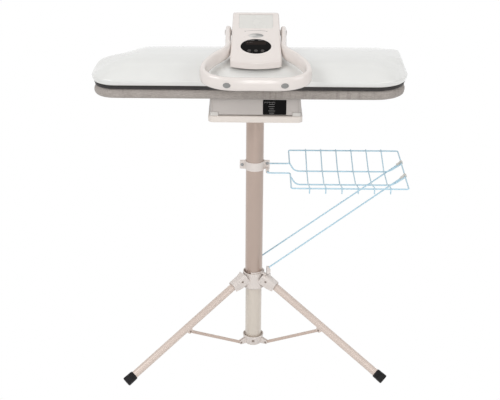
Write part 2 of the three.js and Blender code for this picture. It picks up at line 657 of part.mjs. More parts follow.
for (let index = 0; index < rack.crossWires; index += 1) {
  const x = rack.left + rack.crossInset + index * rack.crossPitch;
  trayBody = trayBody.add(wire([
    at(x, rack.rear + rackWire, rack.level + crossLift),
      at(x, rack.rear - rack.bend, rack.level + crossLift),
    at(x, rack.floorRear, floorLevel + crossLift), at(x, rack.floorFront, floorLevel + crossLift),
    at(x, rack.front + rack.bend / 2, rack.level + crossLift),
    at(x, rack.front - rack.hookOut, rack.level + crossLift),
    at(x, rack.front - rack.hookOut, rack.level - rack.hookDrop),
  ], crossRadius, rack.bend / 2, rack.crossSides, 1));
}
piece('rack_tray', trayBody, colour.wire, 0.35, 0.1);

// Struts: from a clip on the tray's right rail down to a foot in the lower clamp
const propBottom = hubTop - propClamp.sunk;
const propTop = propBottom + propClamp.height;
const footSeat = propTop + fit.gap;

function strutLine(clipY, foot) {
  const top = at(rack.right, clipY, rack.level);
  const bottom = at(foot[0], foot[1], footSeat + strut.footRise);
  return { top, bottom, direction: bottom.clone().sub(top).normalize() };
}

function alongDirection(body, place, direction) {
  const turn = new THREE.Quaternion().setFromUnitVectors(new THREE.Vector3(0, 0, 1), direction);
  return body.transform(new THREE.Matrix4().compose(place, turn, new THREE.Vector3(1, 1, 1)).elements);
}

function strutBody(clipY, foot) {
  const line = strutLine(clipY, foot);
  const start = line.top.clone().addScaledVector(line.direction, strut.bossStart);
  return wire([start, line.bottom, at(foot[0], foot[1], footSeat)], rackWire, rack.bend * 2,
    rack.wireSides);
}

function clipBody(clipY, foot) {
  const line = strutLine(clipY, foot);
  const reach = rackWire + fit.gap;
  const sleeve = bar('y', reach + strut.clipWall, clipY - strut.clipLength / 2,
    clipY + strut.clipLength / 2, rack.right, rack.level, 14);
  const boss = alongDirection(disc(reach + strut.clipWall, 0, strut.bossLength, 14), line.top,
    line.direction);
  const socket = alongDirection(disc(reach, strut.bossStart - fit.gap, strut.bossLength + fit.overrun, 12),
    line.top, line.direction);
  const rail = bar('y', reach, clipY - strut.clipLength, clipY + strut.clipLength, rack.right, rack.level,
    12);
  return sleeve.add(boss).subtract(socket).subtract(rail);
}

piece('rack_strut_front', strutBody(strut.frontClip, propClamp.frontFoot), colour.wire, 0.35, 0.1);
piece('rack_strut_rear', strutBody(strut.rearClip, propClamp.rearFoot), colour.wire, 0.35, 0.1);
piece('rack_clip_front', clipBody(strut.frontClip, propClamp.frontFoot), colour.shell, 0.5, 0);
piece('rack_clip_rear', clipBody(strut.rearClip, propClamp.rearFoot), colour.shell, 0.5, 0);

// Lower clamp: a sprung band in the hub's rim with a channel for each strut foot
const propInner = poleRadius + fit.gap;
const propOuter = propInner + propClamp.thickness;
const opening = THREE.MathUtils.degToRad(propClamp.openAngle);
const mouth = [0, -opening, opening].map((angle) => {
  const reach = angle === 0 ? 0 : propOuter * 3;
  const facing = THREE.MathUtils.degToRad(propClamp.facingAngle) + angle;
  return new THREE.Vector2(reach * Math.cos(facing), reach * Math.sin(facing));
});
let propBody = ring(propOuter, propInner, propBottom, propTop, pole.sides)
  .subtract(slab(mouth, propBottom - fit.overrun, propTop + fit.overrun));
for (const foot of [propClamp.frontFoot, propClamp.rearFoot]) {
  const webBack = foot[0] - rackWire - fit.gap - propClamp.web;
  const halfSlot = rackWire + fit.running;
  const halfEar = halfSlot + propClamp.cheek;
  const neckUnder = propTop - propClamp.neckThickness;
  const azimuth = Math.atan2(foot[1], webBack);
  const neckEnd = Math.hypot(foot[1], webBack) + propClamp.web;
  const neck = turned(box(propInner + fit.gap, neckEnd, -propClamp.neckWidth / 2, propClamp.neckWidth / 2,
    neckUnder, propTop), azimuth);
  const ear = box(webBack, webBack + propClamp.depth, foot[1] - halfEar, foot[1] + halfEar, neckUnder,
    neckUnder + propClamp.earHeight);
  const slot = box(webBack + propClamp.web, webBack + propClamp.depth + fit.overrun, foot[1] - halfSlot,
    foot[1] + halfSlot,
    propTop, neckUnder + propClamp.earHeight + fit.overrun);
  const clear = disc(hub.rimRadius + fit.gap, propBottom, hubTop + fit.gap, pole.sides);
  propBody = propBody.add(neck.subtract(clear)).add(ear).subtract(slot);
}
piece('clamp_lower', propBody, colour.cream, 0.4, 0);

// Platform pan with a turned-down lip, and the flange that welds it to the pole
const panOuter = slab(rectangle(-platform.width / 2, platform.width / 2, -platform.depth / 2,
  platform.depth / 2, platform.corner, platform.cornerSteps),
  platform.level, platformTop);
const panInner = slab(rectangle(platform.wall - platform.width / 2, platform.width / 2 - platform.wall,
  platform.wall - platform.depth / 2, platform.depth / 2 - platform.wall, platform.corner - platform.wall,
  platform.cornerSteps),
  platform.level - fit.overrun, platformTop - platform.wall);
piece('platform', panOuter.subtract(panInner), colour.platform, 0.4, 0.1);

const flangeTop = platformTop - platform.wall - fit.gap;
const flangePlate = slab(rectangle(-flange.plate / 2, flange.plate / 2, -flange.plate / 2, flange.plate / 2,
  flange.sleeveWall * 3, 4),
  flangeTop - flange.thickness, flangeTop);
const flangeSleeve = ring(poleRadius + fit.gap + flange.sleeveWall, poleRadius + fit.gap,
  flangeTop - flange.thickness - flange.sleeveHeight, flangeTop - flange.thickness + fit.weld, pole.sides);
piece('pole_flange', flangePlate.add(flangeSleeve), colour.platform, 0.5, 0.2);

// Housing of the press base, standing on four rubber feet
const baseHalf = platform.width / 2 - base.sideInset;
const baseFront = base.frontInset - platform.depth / 2;
const baseRear = platform.depth / 2 + base.rearOverhang;
const baseBottom = platformTop + base.lift;
const baseTop = baseBottom + base.height;
const footTop = platformTop + fit.gap + base.footHeight;
let housing = slab(rectangle(-baseHalf, baseHalf, baseFront, baseRear, base.corner, 4), baseBottom,
  baseTop);
housing = housing.subtract(box(base.panelInset - baseHalf, baseHalf - base.panelInset,
  baseFront - fit.overrun,
  baseFront + base.panelDepth, baseBottom - fit.overrun, baseTop - base.panelInset));
const footPlaces = [['front_left', -1, -1], ['front_right', 1, -1], ['rear_left', -1, 1],
  ['rear_right', 1, 1]];
const footRearEdge = platform.depth / 2 - base.footProud;
const feet = footPlaces.map(([place, sideX, sideY]) => {
  const x1 = baseHalf + fit.gap;
  const x0 = x1 - base.footWidth;
  const y0 = sideY < 0 ? baseFront - base.footProud : footRearEdge - base.footWidth;
  const y1 = y0 + base.footWidth;
  const z0 = platformTop + fit.gap;
  const low = Math.min(sideX * x0, sideX * x1);
  const high = Math.max(sideX * x0, sideX * x1);
  housing = housing.subtract(box(low - fit.gap - (sideX < 0 ? fit.overrun : 0),
    high + fit.gap + (sideX > 0 ? fit.overrun : 0),
    y0 - fit.gap - (sideY < 0 ? fit.overrun : 0), y1 + fit.gap, baseBottom - fit.overrun,
    footTop + fit.gap));
  return [place, slab(rectangle(low, high, y0, y1, base.footLift, 3), z0, footTop)];
});
const gaugeOutline = rectangle(gauge.centre - gauge.width / 2, gauge.centre + gauge.width / 2,
  baseBottom + gauge.rise,
  baseBottom + gauge.rise + gauge.height, gauge.thickness, 3);
const gaugePocket = rectangle(gauge.centre - gauge.width / 2 - fit.gap,
  gauge.centre + gauge.width / 2 + fit.gap,
  baseBottom + gauge.rise - fit.gap, baseBottom + gauge.rise + gauge.height + fit.gap, gauge.thickness, 3);
const panelFace = baseFront + base.panelDepth;
housing = housing.subtract(alongY(gaugePocket, panelFace - fit.overrun,
  panelFace + gauge.thickness + fit.gap));
const inletHeight = baseBottom + inlet.above;
housing = housing.subtract(bar('y', inlet.bodyRadius + fit.gap, baseRear - inlet.length,
  baseRear + fit.overrun, inlet.fromCentre, inletHeight, 12));
piece('base_housing', housing, colour.housing, 0.5, 0);
feet.forEach(([place, body]) => piece(`base_foot_${place}`, body, colour.grey, 0.7, 0));
piece('gauge_window', alongY(gaugeOutline, panelFace - fit.gap, panelFace + gauge.thickness), colour.dark,
  0.1, 0);

// Inlet for the mains lead at the back of the housing
const inletBody = bar('y', inlet.radius, baseRear + fit.gap, baseRear + inlet.proud, inlet.fromCentre,
  inletHeight, 12)
  .add(bar('y', inlet.bodyRadius, baseRear - inlet.length + fit.gap, baseRear + fit.gap + fit.weld,
    inlet.fromCentre, inletHeight, 12))
  .subtract(bar('y', inlet.bore, baseRear - inlet.length / 2, baseRear + inlet.length, inlet.fromCentre,
    inletHeight, 12));
piece('power_inlet', inletBody, colour.rubber, 0.6, 0);

// Board outline drawn in by an inset, and pulled towards its long spine for the crown
const boardCorners = [
  [board.left, board.front, board.frontRadius - board.nosePull],
    [board.right, board.front, board.frontRadius],
  [board.right, board.rear, board.rearRadius], [board.taperStart, board.rear, board.shoulderRadius],
  [board.left, board.noseRear, board.noseRadius],
];

function boardOutline(inset) {
  const outline = filleted(boardCorners, board.cornerSteps);
  return outline.map((point, index) => {
    const before = outline[(index + outline.length - 1) % outline.length];
    const after = outline[(index + 1) % outline.length];
    const along = after.clone().sub(before).normalize();
    return new THREE.Vector2(point.x - along.y * inset, point.y + along.x * inset);
  });
}

function boardRing(inset, height, pull = 0) {
  const spineLeft = board.left - board.front;
  const spineRight = board.right + board.front;
  return boardOutline(inset).map((point) => {
    const x = THREE.MathUtils.clamp(point.x, spineLeft, spineRight);
    return new THREE.Vector3(THREE.MathUtils.lerp(point.x, x, pull), point.y * (1 - pull), height);
  });
}

// Board tray under the pad, bolted on the housing
const trayTop = baseTop + fit.gap + tray.thickness;
piece('board_tray', slab(boardOutline(tray.inset), baseTop + fit.gap, trayTop), colour.metal, 0.5, 0.6);

// Ironing pad: foam under a stretched cloth, with rounded edges
const padBottom = trayTop + fit.gap;
const padTop = padBottom + pad.thickness;
piece('ironing_pad', loft([
  boardRing(pad.inset + pad.edgeRadius, padBottom),
    boardRing(pad.inset + pad.lowerInset, padBottom + pad.lowerRise),
  boardRing(pad.inset, padBottom + pad.edgeRadius), boardRing(pad.inset, padTop - pad.edgeRadius),
  boardRing(pad.inset + pad.upperInset, padTop - pad.upperInset),
  boardRing(pad.inset + pad.edgeRadius, padTop),
]), colour.pad, 0.9, 0);

// Upper assembly: plate, shell, arm and head swing up together on the hinge
const plateBottom = padTop + fit.running;
const plateTop = plateBottom + plate.thickness;
let plateBody = slab(boardOutline(plate.inset), plateBottom, plateTop);
for (let row = 0; row < plate.holeRows; row += 1) {
  const y = (row - (plate.holeRows - 1) / 2) * plate.rowPitch;
  const reach = board.right - plate.inset - plate.holePitch / 2;
  for (let x = -reach + plate.holePitch / 2; x <= reach; x += plate.holePitch) {
    plateBody = plateBody.subtract(disc(plate.holeRadius, plateBottom - fit.overrun,
      plateBottom + plate.holeDepth, 5).translate([x, y, 0]));
  }
}
piece('heating_plate', plateBody, colour.dark, 0.35, 0.7);

const shellBottom = plateTop + shell.lift;
const insulatorBottom = plateTop + fit.gap;
const insulatorTop = insulatorBottom + shell.insulator;
piece('insulator', slab(boardOutline(shell.thickness + fit.gap), insulatorBottom, insulatorTop),
  colour.dark, 0.8, 0);

function shellSolid(grow) {
  const wallTop = shellBottom + shell.wallHeight + grow;
  const rings = [boardRing(-grow, shellBottom - fit.overrun), boardRing(-grow, wallTop)];
  crownShares.forEach(([rise, pull]) => rings.push(boardRing(-grow, wallTop + shell.crown * rise, pull)));
  return loft(rings);
}

const shellRaised = shellSolid(fit.gap);
const shellOuter = shellSolid(0).intersect(box(board.left * 2, board.right * 2, board.front * 2,
  board.rear * 2, shellBottom,
  shellBottom + shell.wallHeight + shell.crown));
const shellInner = shellSolid(-shell.thickness);
piece('plate_shell', shellOuter.subtract(shellInner), colour.shell, 0.2, 0);

// Hinge column on the housing, its pin and the arm
const hingeY = board.rear + hinge.behindBoard;
const hingeZ = shellBottom + hinge.lift;
const columnFront = board.rear + hinge.columnFront;
const columnRear = board.rear + hinge.columnRear;

function knucklePlate(bottom, front, rear) {
  const points = [new THREE.Vector2(front, bottom), new THREE.Vector2(rear, bottom)];
  for (let step = 0; step <= hinge.knuckleSteps; step += 1) {
    const angle = Math.PI * step / hinge.knuckleSteps;
    points.push(new THREE.Vector2(hingeY + hinge.knuckleRadius * Math.cos(angle),
      hingeZ + hinge.knuckleRadius * Math.sin(angle)));
  }
  return points;
}

const columnBottom = baseTop + fit.gap;
const cheekOutline = knucklePlate(columnBottom, columnFront, columnRear);
const cheekOuter = hinge.cheekInner + hinge.cheekThickness;
const pinBore = bar('x', hinge.pinRadius + fit.gap, -cheekOuter * 2, cheekOuter * 2, hingeY, hingeZ, 16);
const columnBody = acrossX(cheekOutline, -cheekOuter, -hinge.cheekInner)
  .add(acrossX(cheekOutline, hinge.cheekInner, cheekOuter))
  .add(box(-cheekOuter, cheekOuter, columnFront, columnRear, columnBottom,
    columnBottom + hinge.baseThickness))
  .add(box(-cheekOuter, cheekOuter, columnRear - hinge.baseThickness, columnRear, columnBottom,
    hingeZ - hinge.knuckleRadius - hinge.cheekThickness))
  .subtract(pinBore);
piece('hinge_column', columnBody, colour.cream, 0.4, 0);

const pinHead = fit.gap + hinge.pinRadius / 2;
piece('hinge_pin', bar('x', hinge.pinRadius, -cheekOuter - fit.gap, cheekOuter + fit.gap, hingeY, hingeZ,
  16)
  .add(bar('x', hinge.pinHead, -cheekOuter - pinHead, -cheekOuter - fit.gap, hingeY, hingeZ, 16))
  .add(bar('x', hinge.pinHead, cheekOuter + fit.gap, cheekOuter + pinHead, hingeY, hingeZ, 16)),
    colour.metal, 0.3, 0.9);

const armSide = arm.width / 2;
const shellTop = shellBottom + shell.wallHeight + shell.crown;
const armOutline = filleted([
  [arm.front, shellBottom, 0], [board.rear + fit.gap, shellBottom + shell.wallHeight / 2, 0],
  [hingeY - hinge.throat, hingeZ - hinge.throat, 0], [hingeY, hingeZ - hinge.knuckleRadius, 0],
  [hingeY + hinge.knuckleRadius, hingeZ - hinge.knuckleRadius, hinge.knuckleCorner],
  [hingeY + hinge.knuckleRadius, shellTop + arm.thickness, arm.thickness],
  [arm.front, shellTop + arm.thickness, 0],
], 5);
const springHalf = spring.turns * spring.pitch / 2 + spring.wire;
const armBody = acrossX(armOutline, -armSide, armSide).subtract(shellRaised)
  .subtract(box(-armSide * 2, armSide * 2, board.rear - hinge.behindBoard, board.rear + fit.gap * 2, 0,
    shellBottom + shell.wallHeight))
  .subtract(box(-springHalf, springHalf, hingeY - hinge.springClear, hingeY + hinge.knuckleRadius * 2, 0,
    hingeZ + hinge.knuckleRadius))
  .subtract(pinBore);
piece('press_arm', armBody, colour.metal, 0.5, 0.6);

// Lift spring: torsion coil wound close round the pin
const coilRadius = (hinge.pinRadius + fit.gap + spring.wire / 2) / Math.cos(Math.PI / spring.stepsPerTurn);
const coil = [];
const coilSteps = spring.turns * spring.stepsPerTurn;
for (let step = 0; step <= coilSteps; step += 1) {
  const angle = 2 * Math.PI * step / spring.stepsPerTurn;
  coil.push(at((step - coilSteps / 2) * spring.pitch / spring.stepsPerTurn,
    hingeY + coilRadius * Math.cos(angle),
    hingeZ + coilRadius * Math.sin(angle)));
}
piece('lift_spring', tubeAlong(coil, spring.wire / 2, spring.sides), colour.metal, 0.4, 0.9);

// Head deck frame: x across, y up the slope from the roll edge, z square to the deck
const headBottom = shellBottom + head.lift;
const rollZ = shellBottom + head.rollLift;
const headTop = shellBottom + head.topLift;
const headRearTop = shellBottom + head.rearLift;
const deckLength = Math.hypot(headTop - rollZ, head.deckRear - head.rollY);
const deckSlope = Math.atan2(headTop - rollZ, head.deckRear - head.rollY);
const deckMatrix = new THREE.Matrix4().makeTranslation(0, head.rollY, rollZ)
  .multiply(new THREE.Matrix4().makeRotationX(deckSlope));

function onDeck(body) {
  return body.transform(deckMatrix.elements);
}

// Head cover: side profile extruded across, narrowed to the rear and bowed at the front
function headSolid(inset, floor) {
  const corners = [
    [head.front, floor, 0], [head.rear, floor, 0], [head.rear, headRearTop, head.topRadius],
    [head.deckRear, headTop, head.topRadius], [head.rollY, rollZ, head.rollRadius],
  ];
  const profile = filleted(drawnIn(corners, inset), 3);
  const half = head.frontHalf - inset;
  const edge = head.edge - inset;
  const geometry = new THREE.ExtrudeGeometry(new THREE.Shape(profile), {
    depth: 2 * (half - edge), steps: head.steps, bevelEnabled: true, bevelThickness: edge, bevelSize: edge,
    bevelOffset: -edge, bevelSegments: head.edgeSteps,
  });
  geometry.applyMatrix4(new THREE.Matrix4().makeBasis(
    new THREE.Vector3(0, 1, 0), new THREE.Vector3(0, 0, 1), new THREE.Vector3(1, 0, 0)));
  geometry.translate(edge - half, 0, 0);
  const places = geometry.getAttribute('position');
  for (let index = 0; index < places.count; index += 1) {
    const x = places.getX(index);
    const y = places.getY(index);
    const share = THREE.MathUtils.clamp((y - head.front) / (head.deckRear - head.front), 0, 1);
    const narrow = THREE.MathUtils.lerp(1, head.rearHalf / head.frontHalf, share);
    const forward = head.bow * (1 - (x / half) ** 2) * Math.max(0, 1 - share / head.bowShare);
    const z = places.getZ(index);
    const raised = THREE.MathUtils.clamp((z - floor) / (rollZ - floor), 0, 1);
    places.setXYZ(index, x * narrow, y - forward, z - forward * raised * Math.tan(deckSlope));
  }
  return solid(geometry);
}

const lidHalf = lid.width / 2;
const lidCentre = deckLength - lid.fromTop;
const lidFront = lidCentre - lid.length / 2;
const lidRear = lidCentre + lid.length / 2;

function ellipse(width, height, centreY, steps) {
  const points = [];
  for (let step = 0; step < steps; step += 1) {
    const angle = 2 * Math.PI * step / steps;
    points.push(new THREE.Vector2(width / 2 * Math.cos(angle), centreY + height / 2 * Math.sin(angle)));
  }
  return points;
}

// Lid outline: round corners in front, square where the barrel lies
function lidOutline(grow, rearEdge) {
  const half = lidHalf + grow;
  return filleted([
    [-half, lidFront - grow, lid.corner], [half, lidFront - grow, lid.corner], [half, rearEdge, 0],
      [-half, rearEdge, 0],
  ], 4);
}

const handlePivotZ = shellBottom + handle.pivotLift;
let headBody = headSolid(0, headBottom).subtract(headSolid(head.wall,
  headBottom - fit.overrun - head.wall)).subtract(shellRaised);
headBody = headBody.subtract(onDeck(slab(ellipse(display.width + 2 * fit.gap, display.height + 2 * fit.gap,
  display.fromRoll, 28),
  -head.wall * 3, head.wall * 2)));
headBody = headBody.subtract(onDeck(slab(lidOutline(lid.slack, lidRear + lid.slack), -head.wall * 3,
  head.wall * 2)));
headBody = headBody.subtract(onDeck(slab(ellipse(badge.width + 2 * fit.gap, badge.height + 2 * fit.gap,
  badge.fromRoll, 20),
  -badge.thickness, head.wall)));
headBody = headBody.subtract(box(-armSide - fit.gap, armSide + fit.gap, hinge.behindBoard,
  head.rear + fit.overrun, 0, shellTop + arm.thickness + fit.gap));
for (const side of [-1, 1]) {
  const near = side * head.rearHalf;
  const face = side * (handle.armInner - fit.gap);
  const boss = bar('x', handle.bossRadius, Math.min(near - side * head.wall, face),
    Math.max(near - side * head.wall, face), handle.pivotY, handlePivotZ, 14);
  const boltHole = bar('x', handle.boltRadius + fit.gap,
    Math.min(near - side * head.wall * 2, face + side * fit.overrun),
    Math.max(near - side * head.wall * 2, face + side * fit.overrun), handle.pivotY, handlePivotZ, 12);
  headBody = headBody.add(boss).subtract(boltHole);
}
piece('head_cover', headBody, colour.cream, 0.25, 0);

// Display lens in the deck, with a hole for each control button
const lensTop = display.proud;
let lensBody = slab(ellipse(display.width, display.height, display.fromRoll, 28),
  lensTop - display.thickness, lensTop);
const keyNames = ['left', 'middle', 'right'];
const keyTop = lensTop + keys.proud;
keyNames.forEach((side, index) => {
  const x = (index - 1) * keys.pitch;
  lensBody = lensBody.subtract(disc(keys.radius + fit.gap, -head.wall * 3, head.wall * 3,
    12).translate([x, keys.fromRoll, 0]));
  piece(`control_button_${side}`,
    onDeck(disc(keys.radius, keyTop - keys.thickness, keyTop, 12).translate([x, keys.fromRoll, 0])),
    colour.dark, 0.3, 0);
});
piece('display_lens', onDeck(lensBody), colour.dark, 0.08, 0);

// Bare oval badge plate in its shallow recess
piece('badge_plate', onDeck(slab(ellipse(badge.width, badge.height, badge.fromRoll, 20),
  fit.gap - badge.thickness, fit.gap)),
  colour.metal, 0.35, 0.8);

// Circuit board hung under the display on four posts
const circuitTop = -circuit.depth + circuit.thickness;
let circuitBody = slab(rectangle(-circuit.width / 2, circuit.width / 2,
  display.fromRoll - circuit.length / 2,
  display.fromRoll + circuit.length / 2, circuit.postInset, 3), -circuit.depth, circuitTop);
for (const x of [circuit.postInset - circuit.width / 2, circuit.width / 2 - circuit.postInset]) {
  for (const y of [circuit.postInset - circuit.length / 2, circuit.length / 2 - circuit.postInset]) {
    const hanger = disc(circuit.postRadius, -circuit.depth, -head.wall - fit.gap, 10)
      .translate([x, display.fromRoll + y, 0]);
    circuitBody = circuitBody.add(hanger);
  }
}
piece('control_board', onDeck(circuitBody), colour.board, 0.6, 0);

// Filler lid: a flap with its barrel along the rear edge
const lidAxis = lidRear - lid.hingeRadius;
const lidFlap = slab(lidOutline(0, lidAxis), -lid.thickness, 0);
const lidBarrel = bar('x', lid.hingeRadius, -lidHalf, lidHalf, lidAxis, -lid.hingeRadius, 14);
piece('filler_lid', onDeck(lidFlap.add(lidBarrel)), colour.cream, 0.25, 0);

// Water tank under the lid, open at its filler mouth
const tankTop = -head.wall - fit.gap;
const tankOutline = (inset) => rectangle(-tank.width / 2 + inset, tank.width / 2 - inset,
  lidFront - tank.front + inset,
  lidRear - tank.rear - inset, tank.corner - inset, 4);
const tankBody = slab(tankOutline(0), tankTop - tank.depth, tankTop)
  .subtract(slab(tankOutline(tank.wall), tankTop - tank.depth + tank.wall, tankTop - tank.wall))
  .subtract(disc(tank.mouthRadius, tankTop - tank.wall - fit.overrun, tankTop + fit.overrun,
    18).translate([0, lidCentre, 0]));
piece('water_tank', onDeck(tankBody), colour.shell, 0.2, 0);

// Pump on the arm
const armTop = shellTop + arm.thickness;
const pumpZ = armTop + fit.gap + pump.radius;
const pumpBody = bar('x', pump.radius, -pump.length / 2, pump.length / 2, pump.y, pumpZ, 16)
  .add(bar('x', pump.nozzle, -pump.length / 2 - pump.nozzleLength, pump.length / 2 + pump.nozzleLength,
    pump.y, pumpZ, 8))
  .add(box(-pump.length / 3, pump.length / 3, pump.y - pump.radius, pump.y + pump.radius, armTop + fit.gap,
    pumpZ));
piece('pump', pumpBody, colour.metal, 0.5, 0.4);

// Handle: a band bent round in front of the head and hung on its sides
const armCentre = handle.armInner + handle.thickness / 2;
const handleHeight = (y) => handlePivotZ - handle.fallShare * (handle.pivotY - y);
const halfRoute = [
  [armCentre, handle.pivotY], [armCentre, (handle.pivotY + handle.elbowY) / 2], [armCentre, handle.elbowY],
  [handle.shoulder, handle.shoulderY], [handle.widest, handle.widestY], [handle.corner, handle.cornerY],
];
const mirrored = halfRoute.map(([x, y]) => [-x, y]).reverse();
const routeCorners = [...halfRoute, [0, handle.front],
  ...mirrored].map(([x, y]) => at(x, y, handleHeight(y)));
const handleCurve = new THREE.CatmullRomCurve3(routeCorners, false, 'centripetal');
const handlePoints = handleCurve.getSpacedPoints(handle.steps * 2);
const handleSection = new THREE.Shape(rectangle(-handle.thickness / 2, handle.thickness / 2,
  -handle.height / 2, handle.height / 2, handle.edge, 2));
let handleBody = solid(new THREE.ExtrudeGeometry(handleSection, {
  steps: handle.steps * 2, extrudePath: new Route(handlePoints, true), bevelEnabled: false,
}));
for (const side of [-1, 1]) {
  const inner = side * handle.armInner;
  const outer = side * (handle.armInner + handle.thickness);
  const end = bar('x', handle.height / 2, Math.min(inner, outer), Math.max(inner, outer), handle.pivotY,
    handlePivotZ, 18);
  const hole = bar('x', handle.boltRadius + fit.gap, Math.min(inner, outer) - fit.overrun,
    Math.max(inner, outer) + fit.overrun,
    handle.pivotY, handlePivotZ, 12);
  handleBody = handleBody.add(end).subtract(hole);
}

// Steam buttons: each slides square into the front of the band
function bandFrame(x) {
  let low = 0;
  let high = 1 / 2;
  for (let step = 0; step < handle.searchSteps; step += 1) {
    const middle = (low + high) / 2;
    const tried = handleCurve.getPointAt(middle);
    if (tried.x > Math.abs(x) || tried.y > handle.widestY) low = middle;
    else high = middle;
  }
  const share = x > 0 ? low : 1 - low;
  const place = handleCurve.getPointAt(share);
  const along = handleCurve.getTangentAt(share);
  const outward = new THREE.Vector3().crossVectors(along, new THREE.Vector3(0, 0, 1)).normalize();
  if (outward.y > 0) outward.negate();
  const upward = new THREE.Vector3().crossVectors(outward, along).normalize();
  if (upward.z < 0) upward.negate();
  const across = new THREE.Vector3().crossVectors(upward, outward);
  const matrix = new THREE.Matrix4().makeBasis(across, upward, outward);
  matrix.setPosition(place.addScaledVector(outward, handle.thickness / 2));
  return matrix;
}

for (const side of [-1, 1]) {
  const matrix = bandFrame(side * steamKey.spread / 2);
  const pocket = slab(ellipse(steamKey.width + 2 * fit.gap, steamKey.height + 2 * fit.gap, 0, 16),
    -steamKey.depth - steamKey.travel - fit.gap, fit.overrun).transform(matrix.elements);
  const key = slab(ellipse(steamKey.width, steamKey.height, 0, 16), -steamKey.depth, steamKey.proud)
    .transform(matrix.elements);
  handleBody = handleBody.subtract(pocket);
  piece(`steam_button_${side < 0 ? 'left' : 'right'}`, key, colour.grey, 0.4, 0);
}
piece('handle', handleBody, colour.cream, 0.25, 0);

for (const side of [-1, 1]) {
  const inner = side * (head.rearHalf - head.wall);
  const outer = side * (handle.armInner + handle.thickness + fit.gap);
  const far = outer + side * handle.boltHeadHeight;
  const bolt = bar('x', handle.boltRadius, Math.min(inner, outer + side * fit.gap),
    Math.max(inner, outer + side * fit.gap), handle.pivotY, handlePivotZ, 12)
    .add(bar('x', handle.boltHead, Math.min(outer, far), Math.max(outer, far), handle.pivotY, handlePivotZ,
      14));
  piece(`handle_bolt_${side < 0 ? 'left' : 'right'}`, bolt, colour.cream, 0.4, 0);
}

// Origin: the bottom centre of the whole part
const whole = new THREE.Group();
whole.add(part);
whole.updateMatrixWorld(true);
const bounds = new THREE.Box3().setFromObject(whole, true);
const centre = bounds.getCenter(new THREE.Vector3());
part.position.set(-centre.x, -centre.y, -bounds.min.z);

export default whole;
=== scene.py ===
# Steam ironing press on a tripod stand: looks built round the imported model.
# Sizes are millimetres from the pole's axis and the floor. spot() turns them into the frame's metres.
import math
import random

import bmesh
import bpy
from mathutils import Matrix, Vector


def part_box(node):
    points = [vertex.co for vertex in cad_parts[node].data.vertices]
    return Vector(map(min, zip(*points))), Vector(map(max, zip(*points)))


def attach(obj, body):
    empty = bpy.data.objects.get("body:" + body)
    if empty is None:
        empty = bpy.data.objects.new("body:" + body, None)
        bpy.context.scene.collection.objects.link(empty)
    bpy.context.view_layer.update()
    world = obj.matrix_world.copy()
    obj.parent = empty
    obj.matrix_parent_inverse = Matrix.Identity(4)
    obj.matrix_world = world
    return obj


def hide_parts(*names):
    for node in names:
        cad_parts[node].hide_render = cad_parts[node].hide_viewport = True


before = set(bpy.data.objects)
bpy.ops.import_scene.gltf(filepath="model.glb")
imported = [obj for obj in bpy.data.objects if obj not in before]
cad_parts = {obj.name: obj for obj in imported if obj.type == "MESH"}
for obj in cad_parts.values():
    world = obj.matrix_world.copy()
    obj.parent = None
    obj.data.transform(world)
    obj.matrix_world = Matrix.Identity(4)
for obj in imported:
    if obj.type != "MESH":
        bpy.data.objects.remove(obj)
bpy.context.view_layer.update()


# Camera: a long lens before the press and a little above it, with its place fitted to the photograph.
# It looks down on the stand and is rolled by half a degree.
POLE_BOTTOM = 228
CAMERA_PLACE, CAMERA_DOWN, CAMERA_ROLL = (-14.4, -3781.4, 2156.7), 23, 0.46
PHOTO_WIDTH, FOCAL_PIXELS, SENSOR = 500, 1253, 36
QUARTER = math.pi / 2
pole_low, pole_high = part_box("pole")


def spot(x, y, z):
    """A place measured from the pole's axis and the floor, in the frame's metres."""
    middle = (pole_low + pole_high) / 2
    return Vector((middle.x + x / 1000, middle.y + y / 1000, pole_low.z + (z - POLE_BOTTOM) / 1000))


def placed(name, data):
    """An object in the scene that holds a camera, a lamp or a mesh."""
    made = bpy.data.objects.new(name, data)
    bpy.context.collection.objects.link(made)
    return made


camera_data = bpy.data.cameras.new("camera")
camera_data.sensor_width = SENSOR
camera_data.lens = FOCAL_PIXELS / PHOTO_WIDTH * SENSOR
camera_data.clip_end = 30
camera = placed("camera", camera_data)
camera.location = spot(*CAMERA_PLACE)
tilt = Matrix.Rotation(math.radians(90 - CAMERA_DOWN), 3, "X")
camera.rotation_euler = (tilt @ Matrix.Rotation(math.radians(CAMERA_ROLL), 3, "Z")).to_euler()
bpy.context.scene.camera = camera


